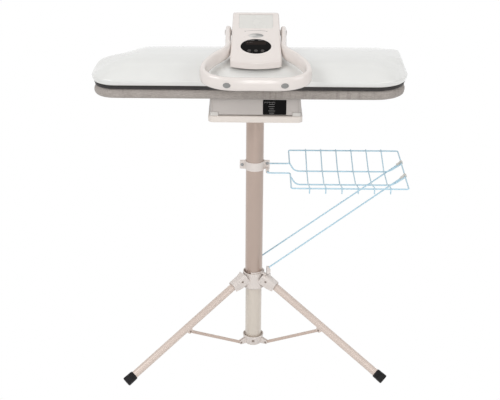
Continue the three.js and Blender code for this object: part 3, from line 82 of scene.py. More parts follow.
# Studio: a pale floor that runs up into a backdrop, plain soft lamps and an even white room.
# The floor shows white to the camera and to polished metal, and keeps the stand's shadow.
class Shade:
    """One output of a material's nodes, which can be used in sums."""

    def __init__(self, tree, socket=None):
        self.tree, self.socket = tree, socket

    def feed(self, socket, value):
        """Gives a socket a value, or links it to another output."""
        if isinstance(value, Shade):
            self.tree.links.new(value.socket, socket)
        else:
            socket.default_value = value

    def node(self, kind, inputs=None, output=0, **settings):
        """A node of that kind, with its settings and its sockets' values or links."""
        made = self.tree.nodes.new(kind)
        for name, value in settings.items():
            setattr(made, name, value)
        for name, value in (inputs or {}).items():
            self.feed(made.inputs[name], value)
        return Shade(self.tree, made.outputs[output])

    def maths(self, operation, first, second, clamp=False):
        return self.node("ShaderNodeMath", {0: first, 1: second}, operation=operation, use_clamp=clamp)

    def mixed(self, share, first, second):
        """Two colours mixed by a share."""
        made = self.tree.nodes.new("ShaderNodeMix")
        made.data_type = "RGBA"
        for name, value in (("Factor", share), ("A", first), ("B", second)):
            self.feed(next(s for s in made.inputs if s.name == name and s.enabled), value)
        return Shade(self.tree, next(s for s in made.outputs if s.enabled))

    def __add__(self, other):
        return self.maths("ADD", self, other)

    def __sub__(self, other):
        return self.maths("SUBTRACT", self, other)

    def __mul__(self, other):
        return self.maths("MULTIPLY", self, other)

    def above(self, level, softness):
        """0 below a level, rising to 1 over a softness."""
        return self.maths("MULTIPLY", self - level, 1 / softness, clamp=True)

    def noise(self, scale, detail=2.0, roughness=0.5, stretch=(1, 1, 1)):
        """Noise from 0 to 1, with so many cells to a metre."""
        place = self.node("ShaderNodeTexCoord", output=3)
        where = self.node("ShaderNodeVectorMath", {0: place, 1: stretch}, operation="MULTIPLY")
        return self.node("ShaderNodeTexNoise", {
            "Vector": where, "Scale": scale, "Detail": detail, "Roughness": roughness})

    def bump(self, strength, distance, height):
        """A rough skin, to that distance in metres."""
        return self.node("ShaderNodeBump", {"Strength": strength, "Distance": distance, "Height": height})


def linear(code, share=1):
    """A colour written as six hex digits, as the shader's linear values, darkened to a share."""
    values = [int(code[start:start + 2], 16) / 255 for start in (0, 2, 4)]
    return (*[(v / 12.92 if v <= 0.04045 else ((v + 0.055) / 1.055) ** 2.4) * share for v in values], 1)


def finish(name, fill):
    """A material whose surface shader gets what fill(nodes) returns as its sockets."""
    material = bpy.data.materials.new(name)
    material.use_nodes = True
    nodes = Shade(material.node_tree)
    surface = material.node_tree.nodes["Principled BSDF"]
    for socket, value in fill(nodes).items():
        nodes.feed(surface.inputs[socket], value)
    return material


FLOOR_HALF, WALL_DISTANCE, WALL_HEIGHT, COVE, COVE_STEPS = 16.0, 9.0, 12.6, 2.7, 12
PAPER_GREY, ROOM_LIGHT = 0.82, 0.56
sweep_line = [(-FLOOR_HALF, 0.0)]
for step in range(COVE_STEPS + 1):
    angle = QUARTER * step / COVE_STEPS
    sweep_line.append((WALL_DISTANCE - COVE + COVE * math.sin(angle), COVE - COVE * math.cos(angle)))
sweep_line.append((WALL_DISTANCE, WALL_HEIGHT))
backdrop_mesh = bpy.data.meshes.new("backdrop")
backdrop_points = [(side * FLOOR_HALF, y, z) for y, z in sweep_line for side in (-1, 1)]
backdrop_faces = [(2 * i, 2 * i + 1, 2 * i + 3, 2 * i + 2) for i in range(len(sweep_line) - 1)]
backdrop_mesh.from_pydata(backdrop_points, [], backdrop_faces)
backdrop = placed("backdrop", backdrop_mesh)

paper = bpy.data.materials.new("backdrop_paper")
paper.use_nodes = True
paper_nodes = Shade(paper.node_tree)
ray = paper.node_tree.nodes.new("ShaderNodeLightPath")
white_rays = [Shade(paper.node_tree, ray.outputs[f"Is {kind} Ray"])
              for kind in ("Camera", "Glossy", "Transmission")]
seen_white = paper_nodes.maths("MAXIMUM", paper_nodes.maths("MAXIMUM", *white_rays[:2]), white_rays[2])
matt = paper_nodes.node("ShaderNodeBsdfDiffuse", {"Color": (PAPER_GREY, PAPER_GREY, PAPER_GREY, 1)})
glow = paper_nodes.node("ShaderNodeEmission", {"Color": (1, 1, 1, 1), "Strength": 1.0})
paper_mix = paper_nodes.node("ShaderNodeMixShader", {0: seen_white, 1: matt, 2: glow})
paper.node_tree.links.new(paper_mix.socket, paper.node_tree.nodes["Material Output"].inputs["Surface"])
backdrop_mesh.materials.append(paper)

world = bpy.data.worlds.new("room")
world.use_nodes = True
room_nodes = world.node_tree.nodes
room_nodes["Background"].inputs["Color"].default_value = (1, 1, 1, 1)
room_nodes["Background"].inputs["Strength"].default_value = ROOM_LIGHT
bpy.context.scene.world = world
bpy.context.scene.view_settings.view_transform = "Standard"


def lamp(name, place, aim_height, width, height, watts):
    """A soft box that faces a height over the middle of the floor."""
    light = bpy.data.lights.new(name, "AREA")
    light.shape, light.size, light.size_y, light.energy = "RECTANGLE", width, height, watts
    holder = placed(name, light)
    holder.location = place
    holder.rotation_euler = (Vector((0, 0, aim_height)) - Vector(place)).to_track_quat("-Z", "Y").to_euler()


lamp("key_lamp", (-2.4, -2.6, 3.2), 0.8, 1.6, 1.6, 44)
lamp("fill_lamp", (2.6, -2.4, 2.2), 0.7, 1.6, 1.6, 22)
lamp("strip_lamp", (0.15, -4.2, 1.5), 0.6, 0.35, 2.4, 15)
lamp("top_lamp", (0, 0.6, 3.9), 0.9, 3.4, 3.0, 13)


# Pole: one straight steel tube with a satin champagne paint, from the hub's seat to the platform's flange.
# The post below it is a thinner tube, which slides up into the pole when the stand folds.
POLE_RADIUS, POLE_WALL, POLE_FOOT, POLE_TOP = 28.5, 1.2, 244, 878.2
POST_RADIUS, POST_WALL, POST_BOTTOM, POST_TOP = 27.0, 1.5, 24, 513
WELD = 0.000004


def joined(*shapes):
    """Shapes put together, each a list of points and a list of faces."""
    points, faces = [], []
    for more_points, more_faces in shapes:
        start = len(points)
        points.extend(more_points)
        faces.extend([tuple(index + start for index in face) for face in more_faces])
    return points, faces


def moved(shape, matrix):
    return [tuple(matrix @ Vector(point)) for point in shape[0]], shape[1]


def stacked(rings, closed=False):
    """A skin through rings of as many points each, with flat ends or running round into itself."""
    count = len(rings[0])
    points = [tuple(point) for ring in rings for point in ring]
    faces = []
    for level in range(len(rings) - (0 if closed else 1)):
        low, high = level * count, (level + 1) % len(rings) * count
        for index in range(count):
            after = (index + 1) % count
            faces.append((low + index, low + after, high + after, high + index))
    if not closed:
        faces.append(tuple(range(count))[::-1])
        faces.append(tuple(range(len(points) - count, len(points))))
    return points, faces


def oblong(x0, x1, y0, y1):
    """The four corners of an oblong."""
    return [(x0, y0), (x1, y0), (x1, y1), (x0, y1)]


def circle(radius, count):
    """So many points evenly round a circle."""
    angles = [2 * math.pi * step / count for step in range(count)]
    return [(radius * math.cos(angle), radius * math.sin(angle)) for angle in angles]


def turned(profile, sides=72, closed=True):
    """A profile of (radius, height) spun round the upright axis, hollow if it closes on itself."""
    return stacked([[(x, y, height) for x, y in circle(radius, sides)] for radius, height in profile], closed)


def eased(profile, radius, steps=4):
    """A closed outline with rounded corners: (x, y) gets the given radius, (x, y, r) has its own."""
    made = []
    count = len(profile)
    for index, corner in enumerate(profile):
        here = Vector(corner[:2])
        size = corner[2] if len(corner) > 2 else radius
        back = Vector(profile[index - 1][:2]) - here
        on = Vector(profile[(index + 1) % count][:2]) - here
        if size <= 0 or back.length < 1e-6 or on.length < 1e-6:
            made.append((here.x, here.y))
            continue
        half = back.angle(on) / 2
        reach = min(size / math.tan(half), back.length * 0.499, on.length * 0.499)
        size = reach * math.tan(half)
        centre = here + (back.normalized() + on.normalized()).normalized() * (size / math.sin(half))
        first, last = here + back.normalized() * reach - centre, here + on.normalized() * reach - centre
        start = math.atan2(first.y, first.x)
        sweep = (math.atan2(last.y, last.x) - start + math.pi) % (2 * math.pi) - math.pi
        for step in range(steps + 1):
            angle = start + sweep * step / steps
            made.append((centre.x + size * math.cos(angle), centre.y + size * math.sin(angle)))
    return made


def tube(inner, outer, low, high, edge, sides=72):
    """An upright tube with softened ends."""
    return turned(eased(oblong(inner, outer, low, high), edge), sides)


def mesh_from(name, points, faces, weld):
    """A mesh with its doubled points welded and every face turned outwards."""
    mesh = bpy.data.meshes.new(name)
    mesh.from_pydata(points, [], faces)
    work = bmesh.new()
    work.from_mesh(mesh)
    bmesh.ops.remove_doubles(work, verts=work.verts, dist=weld)
    bmesh.ops.recalc_face_normals(work, faces=work.faces)
    work.to_mesh(mesh)
    work.free()
    return mesh


def build(name, shape, body, coat, stands_for=(), crease=32):
    """A piece from a shape in millimetres, on its body, in its coat."""
    mesh = mesh_from(name, [spot(*point) for point in shape[0]], shape[1], WELD)
    mesh.polygons.foreach_set("use_smooth", [True] * len(mesh.polygons))
    mesh.set_sharp_from_angle(angle=math.radians(crease))
    mesh.materials.append(coat)
    piece = placed(name, mesh)
    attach(piece, body)
    if stands_for:
        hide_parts(*stands_for)
    return piece


def painted(name, code, metallic, roughness, fleck=0.03):
    """Satin paint on metal: a faint drift of tone and the skin of a sprayed coat."""
    def fill(nodes):
        drift = nodes.noise(9, 3)
        return {"Base Color": nodes.mixed(drift, linear(code), linear(code, 1 - 3 * fleck)),
                "Metallic": metallic, "Roughness": drift * 0.08 + roughness, "Coat Weight": 0.35,
                "Coat Roughness": 0.18, "Normal": nodes.bump(0.03, 0.0003, nodes.noise(260, 2))}
    return finish(name, fill)


# Pole and post share one paint in two tones, and the difference is painted light: darker on the pole for the
# dark room it reflects, paler on the post for the light off the floor.
pole = tube(POLE_RADIUS - POLE_WALL, POLE_RADIUS, POLE_FOOT, POLE_TOP, 0.4)
build("pole_tube", pole, "stand", painted("pole_paint", "C1ADA1", 0.5, 0.3), ["pole"])
post = tube(POST_RADIUS - POST_WALL, POST_RADIUS, POST_BOTTOM, POST_TOP, 0.4)
build("post_tube", post, "post", painted("post_paint", "E2D8CC", 0.25, 0.3), ["lower_post"])


# Hub: one cream casting round the pole's lower end, with a flared foot ring, a loose rim and three
# open-bottomed sockets. Each leg hangs in its socket on a pin whose heads show on the cheeks.
PIVOT_RADIUS, PIVOT_HEIGHT, FOOT_RADIUS, FOOT_HEIGHT = 53, 271.2, 486, 12.2
LEG_TURNS = {"right": -28.1, "rear": 91.9, "left": 211.9}
LEG_SLOPE = math.atan2(PIVOT_HEIGHT - FOOT_HEIGHT, FOOT_RADIUS - PIVOT_RADIUS)
LEG_SPAN = math.hypot(PIVOT_HEIGHT - FOOT_HEIGHT, FOOT_RADIUS - PIVOT_RADIUS)
LEG_RADIUS, PIN_RADIUS = 12.5, 3
SOCKET_HALF, SOCKET_WALL, SOCKET_ROOF, SOCKET_TOP, SOCKET_MOUTH = 15.75, 1.9, 1.8, 15.6, 34.5
SOCKET_EDGE, SOCKET_LIP, MOUTH_CANT = 8, 0.7, 0.11
HUB_BOTTOM, HUB_TOP, HUB_BORE, HUB_LOOSE, HUB_WAIST = 240, 296, 28.8, 32.2, 36.5
# Each ring of a socket: its place along the leg, how far its cheeks hang, how wide and how canted it is.
SOCKET_RINGS = [
    (-20, 20, 1.5, 0), (-13, 20, 1.22, 0), (-5, 20.5, 1.06, 0), (4, 21, 1, 0.02), (14, 20, 1, 0.05),
    (22, 17.5, 1, 0.08), (30, 14.6, 1, 0.1), (SOCKET_MOUTH - 0.8, 13.2, 1, MOUTH_CANT)]


def shift(x, y, z):
    return Matrix.Translation((x, y, z))


def spin(angle, axis):
    return Matrix.Rotation(angle, 4, axis)


def round_pole(side):
    """From a leg's own plane to the stand."""
    return spin(math.radians(LEG_TURNS[side]), "Z")


def along_leg(side):
    """From a leg's own axes, along it, across it and above it, to the stand."""
    return round_pole(side) @ shift(PIVOT_RADIUS, 0, PIVOT_HEIGHT) @ spin(LEG_SLOPE, "Y")


def rod(radius, start, end, sides=32, edge=0.3, axis="Z"):
    """A round bar with softened ends along an axis."""
    tip = [(radius * 0.02, 0), (radius - edge, 0), (radius - edge * 0.3, edge * 0.3), (radius, edge)]
    profile = [(size, start + rise) for size, rise in tip] + [(size, end - rise) for size, rise in tip[::-1]]
    shape = turned(profile, sides, closed=False)
    if axis == "Z":
        return shape
    return moved(shape, spin(QUARTER, "Y") if axis == "X" else spin(-QUARTER, "X"))


def rivet(radius, height, sides=28):
    """A domed rivet head that stands up from z = 0."""
    profile = [(0.02, -height / 2), (radius, -height / 2), (radius, 0)]
    for step in range(1, 7):
        angle = QUARTER * step / 6
        profile.append((max(radius * math.cos(angle), 0.02), height * math.sin(angle)))
    return turned(profile, sides, closed=False)


def cheek_rivet(radius, height, place, way, lay=Matrix()):
    """A rivet head on a cheek that faces one way across."""
    return moved(rivet(radius, height), lay @ (shift(*place) @ spin(-way * QUARTER, "X")))


def channel(depth):
    """The section of a socket: an arch with round shoulders and two hanging cheeks."""
    inner, roof = SOCKET_HALF - SOCKET_WALL, SOCKET_TOP - SOCKET_ROOF
    return eased([
        (SOCKET_HALF, -depth, SOCKET_LIP), (SOCKET_HALF, SOCKET_TOP, SOCKET_EDGE),
        (-SOCKET_HALF, SOCKET_TOP, SOCKET_EDGE), (-SOCKET_HALF, -depth, SOCKET_LIP),
        (-inner, -depth, SOCKET_LIP), (-inner, roof, SOCKET_EDGE - 2),
        (inner, roof, SOCKET_EDGE - 2), (inner, -depth, SOCKET_LIP)], 0, 6)


cast_cream = painted("cast_cream", "EAE1DB", 0.0, 0.34, 0.015)
rivet_paint = painted("rivet_paint", "9A8C82", 0.4, 0.35)
hub_profile = eased([
    (HUB_BORE, HUB_BOTTOM, 0.8), (34.5, HUB_BOTTOM, 2), (39, HUB_BOTTOM + 4, 3),
    (HUB_WAIST, HUB_BOTTOM + 14, 7),
    (HUB_WAIST, HUB_TOP - 14, 9), (36, HUB_TOP, 1.2), (HUB_LOOSE, HUB_TOP, 1.2), (HUB_LOOSE, HUB_TOP - 12, 2),
    (HUB_BORE, HUB_TOP - 14, 1)], 0, 5)
hub_shapes, hub_pins = [turned(hub_profile, 96)], []
for leg_side in LEG_TURNS:
    to_leg = along_leg(leg_side)
    rings = [[(place - z * cant, y * wide, z) for y, z in channel(depth)]
             for place, depth, wide, cant in SOCKET_RINGS]
    rings.append([(SOCKET_MOUTH - z * MOUTH_CANT, y * 0.992, z * 0.992) for y, z in channel(13)])
    pin = rod(PIN_RADIUS, -SOCKET_HALF, SOCKET_HALF, axis="Y")
    points, faces = moved(joined(stacked(rings), pin), to_leg)
    hub_shapes.append(([(x, y, min(z, HUB_TOP)) for x, y, z in points], faces))
    hub_pins += [cheek_rivet(4.2, 2, (0, way * SOCKET_HALF, 0), way, to_leg) for way in (-1, 1)]
build("hub_casting", joined(*hub_shapes), "stand", cast_cream, ["hub"])
build("hub_pins", joined(*hub_pins), "stand", rivet_paint)


# Legs: three round tubes, each with a pair of lugs pressed under it for its stretcher, and a rivet on top.
# Black moulded caps are pushed over their ends, and stand on the floor on a small worn flat.
LUG_PLACE, LUG_DROP, LUG_IN, LUG_OUT, LEG_WALL = 236.8, 19, 2.4, 4.9, 1.7
CAP_RADIUS, CAP_LENGTH, CAP_RIBS, CAP_FLOOR = 16.2, 36, 3, 3.4


def inset(outline, distance):
    """An outline drawn in by a distance along its own normals."""
    made = []
    count = len(outline)
    area = sum(outline[i - 1][0] * outline[i][1] - outline[i][0] * outline[i - 1][1] for i in range(count))
    way = 1 if area > 0 else -1
    for index, (x, y) in enumerate(outline):
        along = Vector(outline[(index + 1) % count]) - Vector(outline[index - 1])
        along.normalize()
        made.append((x - along.y * distance * way, y + along.x * distance * way))
    return made


def plate(outline, start, end, edge=0.5):
    """A flat plate cut to an outline of (x, z), thick in y, with softened edges."""
    inner = inset(outline, edge)
    rings = [(inner, start), (outline, start + edge), (outline, end - edge), (inner, end)]
    return stacked([[(x, y, z) for x, z in flat] for flat, y in rings])


def capped_rubber(nodes):
    scuff = nodes.noise(90, 4, 0.7)
    tone = nodes.mixed(scuff.above(0.5, 0.25), linear("0E0B0D"), linear("1A1618"))
    return {"Base Color": tone, "Roughness": scuff * 0.2 + 0.48, "Specular IOR Level": 0.35,
            "Normal": nodes.bump(0.25, 0.0003, nodes.noise(1500, 2))}


leg_paint = painted("leg_paint", "E6D5CA", 0.1, 0.34)
cap_rubber = finish("cap_rubber", capped_rubber)
lug_corners = [(13, -10.5, 0), (11, -13.4, 3), (6, -LUG_DROP - 6, 5.5)]
lug = eased([(LUG_PLACE - reach, z, size) for reach, z, size in lug_corners]
            + [(LUG_PLACE + reach, z, size) for reach, z, size in lug_corners[::-1]], 0, 7)
cap_profile = [(0.05, 0),
               *[(CAP_RADIUS - d, z) for d, z in ((3.4, 0), (1.6, 0.5), (0.5, 1.7), (0, CAP_FLOOR))]]
for rib in range(CAP_RIBS):
    cap_profile += [(CAP_RADIUS - d, 20 + rib * 4 + z)
                    for d, z in ((0.5, 0), (1.1, 0.5), (1.1, 1.3), (0.6, 1.8))]
cap_profile += [(CAP_RADIUS - 1.6, CAP_LENGTH - 1.2), (CAP_RADIUS - 2.1, CAP_LENGTH),
                (LEG_RADIUS + 0.4, CAP_LENGTH), (LEG_RADIUS + 0.4, CAP_FLOOR), (0.05, CAP_FLOOR)]
floor_level = POLE_BOTTOM - pole_low.z * 1000 + 0.02
for leg_side in LEG_TURNS:
    to_leg = along_leg(leg_side)
    leg_tube = tube(LEG_RADIUS - LEG_WALL, LEG_RADIUS, -5, LEG_SPAN - 3.7, 0.5, 48)
    parts = [moved(leg_tube, spin(QUARTER, "Y"))]
    parts += [plate(lug, *sorted((way * LUG_IN, way * LUG_OUT))) for way in (-1, 1)]
    parts.append(moved(rod(PIN_RADIUS, -LUG_OUT, LUG_OUT, axis="Y"), shift(LUG_PLACE, 0, -LUG_DROP)))
    parts.append(moved(rivet(4.8, 2), shift(LUG_PLACE, 0, LEG_RADIUS - 0.2)))
    build(f"leg_tube_{leg_side}", moved(joined(*parts), to_leg), f"{leg_side}_leg", leg_paint,
          [f"leg_{leg_side}"])
    rivets = [cheek_rivet(3.6, 1.8, (LUG_PLACE, way * LUG_OUT, -LUG_DROP), way) for way in (-1, 1)]
    build(f"lug_rivets_{leg_side}", moved(joined(*rivets), to_leg), f"{leg_side}_leg", rivet_paint)
    cap = moved(turned(cap_profile, 56, closed=False), shift(LEG_SPAN, 0, 0) @ spin(-QUARTER, "Y"))
    points, faces = moved(cap, to_leg)
    build(f"leg_cap_{leg_side}", ([(x, y, max(z, floor_level)) for x, y, z in points], faces),
          f"{leg_side}_leg", cap_rubber, [f"foot_cap_{leg_side}"])


# Stretchers: flat steel straps with round ends that hold each leg to the collar.
# The collar is a cast cup on the post's foot, with a pair of ears to each strap and a screw in front.
EAR_RADIUS, EAR_HEIGHT, EAR_IN, EAR_OUT, EAR_TIP, EAR_HALF = 50, 35, 2.4, 4.9, 56, 6.5
STRAP_HALF, STRAP_THICK = 5, 4
COLLAR_BOTTOM, COLLAR_TOP, COLLAR_BORE, SCREW_HEIGHT = 27, 57, 27.3, 43


def arc(radius, start, end, steps):
    """Points on a circle round the middle, in degrees."""
    angles = [math.radians(start + (end - start) * step / steps) for step in range(steps + 1)]
    return [(radius * math.cos(angle), radius * math.sin(angle)) for angle in angles]


def bright_steel(nodes):
    brushed = nodes.noise(700, 3, 0.6, (1, 1, 0.08))
    return {"Base Color": nodes.mixed(brushed, linear("8E9092"), linear("B4B6B8")), "Metallic": 1.0,
            "Roughness": brushed * 0.15 + 0.3, "Normal": nodes.bump(0.12, 0.0002, brushed)}


steel = finish("plain_steel", bright_steel)
strap_paint = painted("strap_paint", "D6C2B5", 0.1, 0.36)
pin_radius = PIVOT_RADIUS + LUG_PLACE * math.cos(LEG_SLOPE) - LUG_DROP * math.sin(LEG_SLOPE)
pin_height = PIVOT_HEIGHT - LUG_PLACE * math.sin(LEG_SLOPE) - LUG_DROP * math.cos(LEG_SLOPE)
strap_length = math.hypot(pin_radius - EAR_RADIUS, pin_height - EAR_HEIGHT)
strap_rise = math.atan2(pin_height - EAR_HEIGHT, pin_radius - EAR_RADIUS)
strap_end = [(strap_length + x, z) for x, z in arc(STRAP_HALF, -90, 90, 12)]
strap = plate(strap_end + arc(STRAP_HALF, 90, 270, 12), -STRAP_THICK / 2, STRAP_THICK / 2, 0.7)
ear = eased([(29.5, COLLAR_BOTTOM + 24, 0), (29.5, COLLAR_BOTTOM + 1, 0),
             (EAR_TIP, EAR_HEIGHT - EAR_HALF, 6), (EAR_TIP, EAR_HEIGHT + EAR_HALF, 6)], 0, 7)
collar_profile = eased([
    (COLLAR_BORE, COLLAR_BOTTOM, 0.6), (31, COLLAR_BOTTOM, 2), (35.2, COLLAR_TOP, 1), (31.6, COLLAR_TOP, 1),
    (30.9, COLLAR_BOTTOM + 24, 2), (COLLAR_BORE, COLLAR_BOTTOM + 22, 0.6)], 0, 5)
collar_shapes, collar_rivets = [turned(collar_profile, 96)], []
for leg_side in LEG_TURNS:
    turn = round_pole(leg_side)
    lay = turn @ shift(EAR_RADIUS, 0, EAR_HEIGHT) @ spin(-strap_rise, "Y")
    build(f"stretcher_strap_{leg_side}", moved(strap, lay), f"{leg_side}_stretcher", strap_paint,
          [f"stretcher_{leg_side}"])
    for way in (-1, 1):
        collar_shapes.append(moved(plate(ear, *sorted((way * EAR_IN, way * EAR_OUT))), turn))
        collar_rivets.append(cheek_rivet(3.8, 1.8, (EAR_RADIUS, way * EAR_OUT, EAR_HEIGHT), way, turn))
build("collar_cup", joined(*collar_shapes), "post", cast_cream, ["collar"])
build("collar_rivets", joined(*collar_rivets), "post", rivet_paint)
screw = joined(rod(3.2, -33.6, -27.4, axis="Y"), rod(4.2, -35.6, -33.6, axis="Y", edge=0.6))
build("collar_grub_screw", moved(screw, shift(0, 0, SCREW_HEIGHT)), "post", rivet_paint,
      ["collar_screw"])


# Upper clamp: two cream half bands bolted round the pole, each with a barrel for one hinge arm of the rack.
# Lower clamp: a sprung band in the hub's rim with a channel for each strut's foot.
BAND_BOTTOM, BAND_HEIGHT, BAND_INNER, BAND_OUTER, EAR_REACH, EAR_THICK = 663, 29, 28.8, 31.4, 17, 3
BARREL_X, BARREL_BORE, BARREL_RADIUS, BARREL_END, RACK_LEVEL = 41, 2.9, 5.6, 32.7, 664.5
PROP_BOTTOM, PROP_TOP, PROP_INNER, PROP_OUTER = 286, 301, 28.8, 30.8
PROP_FEET = {"front": (47, -36), "rear": (20, 48)}
# A strut's seat: the wire's room before its back, the back's thickness and height, the floor and the cheeks.
SEAT_ROOM, SEAT_BACK, SEAT_RISE, SEAT_FLOOR, SEAT_LENGTH, SEAT_IN, SEAT_OUT = 2.7, 3, 26.4, 3.6, 15, 2.8, 4.8


def level_plate(outline, bottom, top, edge=0.5):
    """A plate cut to an outline of (x, y), between two heights, with softened edges."""
    inner = inset(outline, edge)
    rings = [(inner, bottom), (outline, bottom + edge), (outline, top - edge), (inner, top)]
    return stacked([[(x, y, z) for x, y in flat] for flat, z in rings])


def block(x0, x1, y0, y1, z0, z1, corner=0.8, edge=0.5):
    """A small block with rounded corners."""
    return level_plate(eased(oblong(*sorted((x0, x1)), *sorted((y0, y1))), corner, 3), z0, z1, edge)


def band(inner, outer, start, end, bottom, top):
    """A strip bent round the pole, from one angle to another."""
    return level_plate(arc(outer, start, end, 40) + arc(inner, end, start, 40), bottom, top, 0.6)


band_levels = (BAND_BOTTOM, BAND_BOTTOM + BAND_HEIGHT)
for name, way, start in (("front", -1, 180.4), ("rear", 1, 0.4)):
    ear_faces = (way * 0.15, way * (EAR_THICK + 0.15))
    barrel = moved(tube(BARREL_BORE, BARREL_RADIUS, EAR_THICK, BARREL_END, 0.5, 40),
                   shift(BARREL_X, 0, RACK_LEVEL) @ spin(-way * QUARTER, "X"))
    shape = joined(band(BAND_INNER, BAND_OUTER, start, start + 179.2, *band_levels),
                   block(-BAND_OUTER - EAR_REACH, -BAND_INNER - 1, *ear_faces, *band_levels),
                   block(BAND_INNER + 1, BAND_OUTER + EAR_REACH, *ear_faces, *band_levels), barrel)
    build(f"clamp_band_{name}", shape, "stand", cast_cream, [f"clamp_{name}"])

for name, way, share in (("left", -1, 0.5), ("right", 1, 0.68)):
    head = moved(rivet(5.2, 2.6), shift(0, -3.5, 0) @ spin(QUARTER, "X"))
    nut = moved(rod(5.2, 3.5, 6.4, 6, 0.4), spin(-QUARTER, "X"))
    place = shift(way * (BAND_OUTER + EAR_REACH * 0.55), 0, BAND_BOTTOM + BAND_HEIGHT * share)
    bolt = moved(joined(rod(3, -3.7, 3.7, axis="Y"), head, nut), place)
    build(f"clamp_screw_{name}", bolt, "stand", steel, [f"clamp_bolt_{name}"])

seat_levels = (PROP_TOP - SEAT_FLOOR, PROP_TOP)
prop_shapes = [band(PROP_INNER, PROP_OUTER, -108, 128, PROP_BOTTOM, PROP_TOP)]
for foot_x, foot_y in PROP_FEET.values():
    back = foot_x - SEAT_ROOM - SEAT_BACK
    cheeks, top = (foot_y - SEAT_OUT, foot_y + SEAT_OUT), PROP_TOP + SEAT_RISE
    neck = block(PROP_INNER + 0.6, math.hypot(foot_y, back) + 3, -6, 6, *seat_levels, 1.5, 0.7)
    prop_shapes.append(moved(neck, spin(math.atan2(foot_y, back), "Z")))
    prop_shapes.append(block(back, back + SEAT_LENGTH, *cheeks, *seat_levels, 1.2))
    prop_shapes.append(block(back, back + SEAT_BACK, *cheeks, PROP_TOP - SEAT_FLOOR, top, 1))
    cheek = eased([(back, PROP_TOP - 3, 0.5), (back + 7, PROP_TOP - 3, 2),
                   (back + SEAT_LENGTH, PROP_TOP + 9, 3),
                   (back + 9, top, 3), (back, top, 1)], 0, 6)
    for way in (-1, 1):
        prop_shapes.append(plate(cheek, *sorted((foot_y + way * SEAT_IN, foot_y + way * SEAT_OUT)), 0.4))
build("clamp_prop_band", joined(*prop_shapes), "stand", cast_cream, ["clamp_lower"])


# Rack: a tray of steel wire, dip-coated pale blue. One wire makes the rim and its two hinge arms, two floor
# rails hang between its ends, and six thinner wires cross them with hooked ends at the front.
RACK_LEFT, RACK_RIGHT, RACK_FRONT, RACK_REAR, RACK_ARM = 114, 481, -171, 165, 42
RACK_WIRE, CROSS_WIRE, BEND_STEPS, WIRE_SIDES = 2.4, 2, 8, 14
FLOOR_LEVEL, FLOOR_FRONT, FLOOR_REAR = RACK_LEVEL - 28, -70, 46
CROSS_FIRST, CROSS_PITCH, CROSS_LIFT = 171, 50.6, 3.4
CLIP_PLACES = {"front": -56, "rear": 60}


def bent(corners, bend):
    """A wire's middle line: straight runs with a round bend at each inner corner."""
    line = [Vector(corners[0])]
    for index in range(1, len(corners) - 1):
        here = Vector(corners[index])
        back, on = Vector(corners[index - 1]) - here, Vector(corners[index + 1]) - here
        reach = min(bend, back.length / 2, on.length / 2)
        start, end = here + back.normalized() * reach, here + on.normalized() * reach
        for step in range(BEND_STEPS + 1):
            share = step / BEND_STEPS
            line.append(start.lerp(here, share).lerp(here.lerp(end, share), share))
    line.append(Vector(corners[-1]))
    return line


def drawn(line, outline):
    """An outline of (across, up) drawn along a line, turned with it as little as can be."""
    rings, up = [], None
    for index, here in enumerate(line):
        ahead = (line[min(index + 1, len(line) - 1)] - line[max(index - 1, 0)]).normalized()
        if up is None:
            up = Vector((0, 0, 1)) if abs(ahead.z) < 0.9 else Vector((1, 0, 0))
        up = (up - ahead * up.dot(ahead)).normalized()
        across = ahead.cross(up)
        rings.append([here + across * a + up * b for a, b in outline])
    return stacked(rings)


def wire(corners, radius, bend):
    """A round wire bent at its corners, with softened ends."""
    line = bent(corners, bend)
    start, end = (line[1] - line[0]).normalized() * 0.5, (line[-2] - line[-1]).normalized() * 0.5
    line = [line[0], line[0] + start, *line[1:-1], line[-1] + end, line[-1]]
    points, faces = drawn(line, circle(radius, WIRE_SIDES))
    for ring in (0, len(line) - 1):
        for index in range(ring * WIRE_SIDES, (ring + 1) * WIRE_SIDES):
            points[index] = tuple(line[ring] + (Vector(points[index]) - line[ring]) * 0.75)
    return points, faces


def coated_wire(nodes):
    drips = nodes.noise(160, 3)
    return {"Base Color": nodes.mixed(drips, linear("B2DBF0"), linear("C9E6F2")), "Coat Weight": 0.3,
            "Roughness": drips * 0.12 + 0.26, "Normal": nodes.bump(0.2, 0.0004, nodes.noise(500, 2))}


def clip_plastic_fill(nodes):
    shade = nodes.noise(40, 3)
    return {"Base Color": nodes.mixed(shade, linear("D8D4CC"), linear("E4E0DA")),
            "Roughness": shade * 0.1 + 0.42, "Normal": nodes.bump(0.1, 0.0003, nodes.noise(900, 2))}


wire_coat, clip_plastic = finish("wire_coat", coated_wire), finish("clip_plastic", clip_plastic_fill)
rim = [(BARREL_X, 20 - RACK_ARM), (BARREL_X, -RACK_ARM), (RACK_LEFT, -RACK_ARM), (RACK_LEFT, RACK_FRONT),
       (RACK_RIGHT, RACK_FRONT), (RACK_RIGHT, RACK_REAR), (RACK_LEFT, RACK_REAR), (RACK_LEFT, RACK_ARM),
       (BARREL_X, RACK_ARM), (BARREL_X, RACK_ARM - 20)]
rail = [(RACK_LEFT, RACK_LEVEL), (RACK_LEFT + 17, FLOOR_LEVEL), (RACK_RIGHT - 41, FLOOR_LEVEL),
        (RACK_RIGHT, RACK_LEVEL)]
cross_level, cross_floor = RACK_LEVEL + CROSS_LIFT, FLOOR_LEVEL + CROSS_LIFT
cross = [(RACK_REAR + 2.4, cross_level), (RACK_REAR - 9, cross_level), (FLOOR_REAR, cross_floor),
         (FLOOR_FRONT, cross_floor), (RACK_FRONT + 4.5, cross_level), (RACK_FRONT - 5, cross_level),
         (RACK_FRONT - 5, RACK_LEVEL - 15)]
tray_shapes = [wire([(x, y, RACK_LEVEL) for x, y in rim], RACK_WIRE, 9)]
tray_shapes += [wire([(x, y, z) for x, z in rail], RACK_WIRE, 16) for y in (FLOOR_FRONT, FLOOR_REAR)]
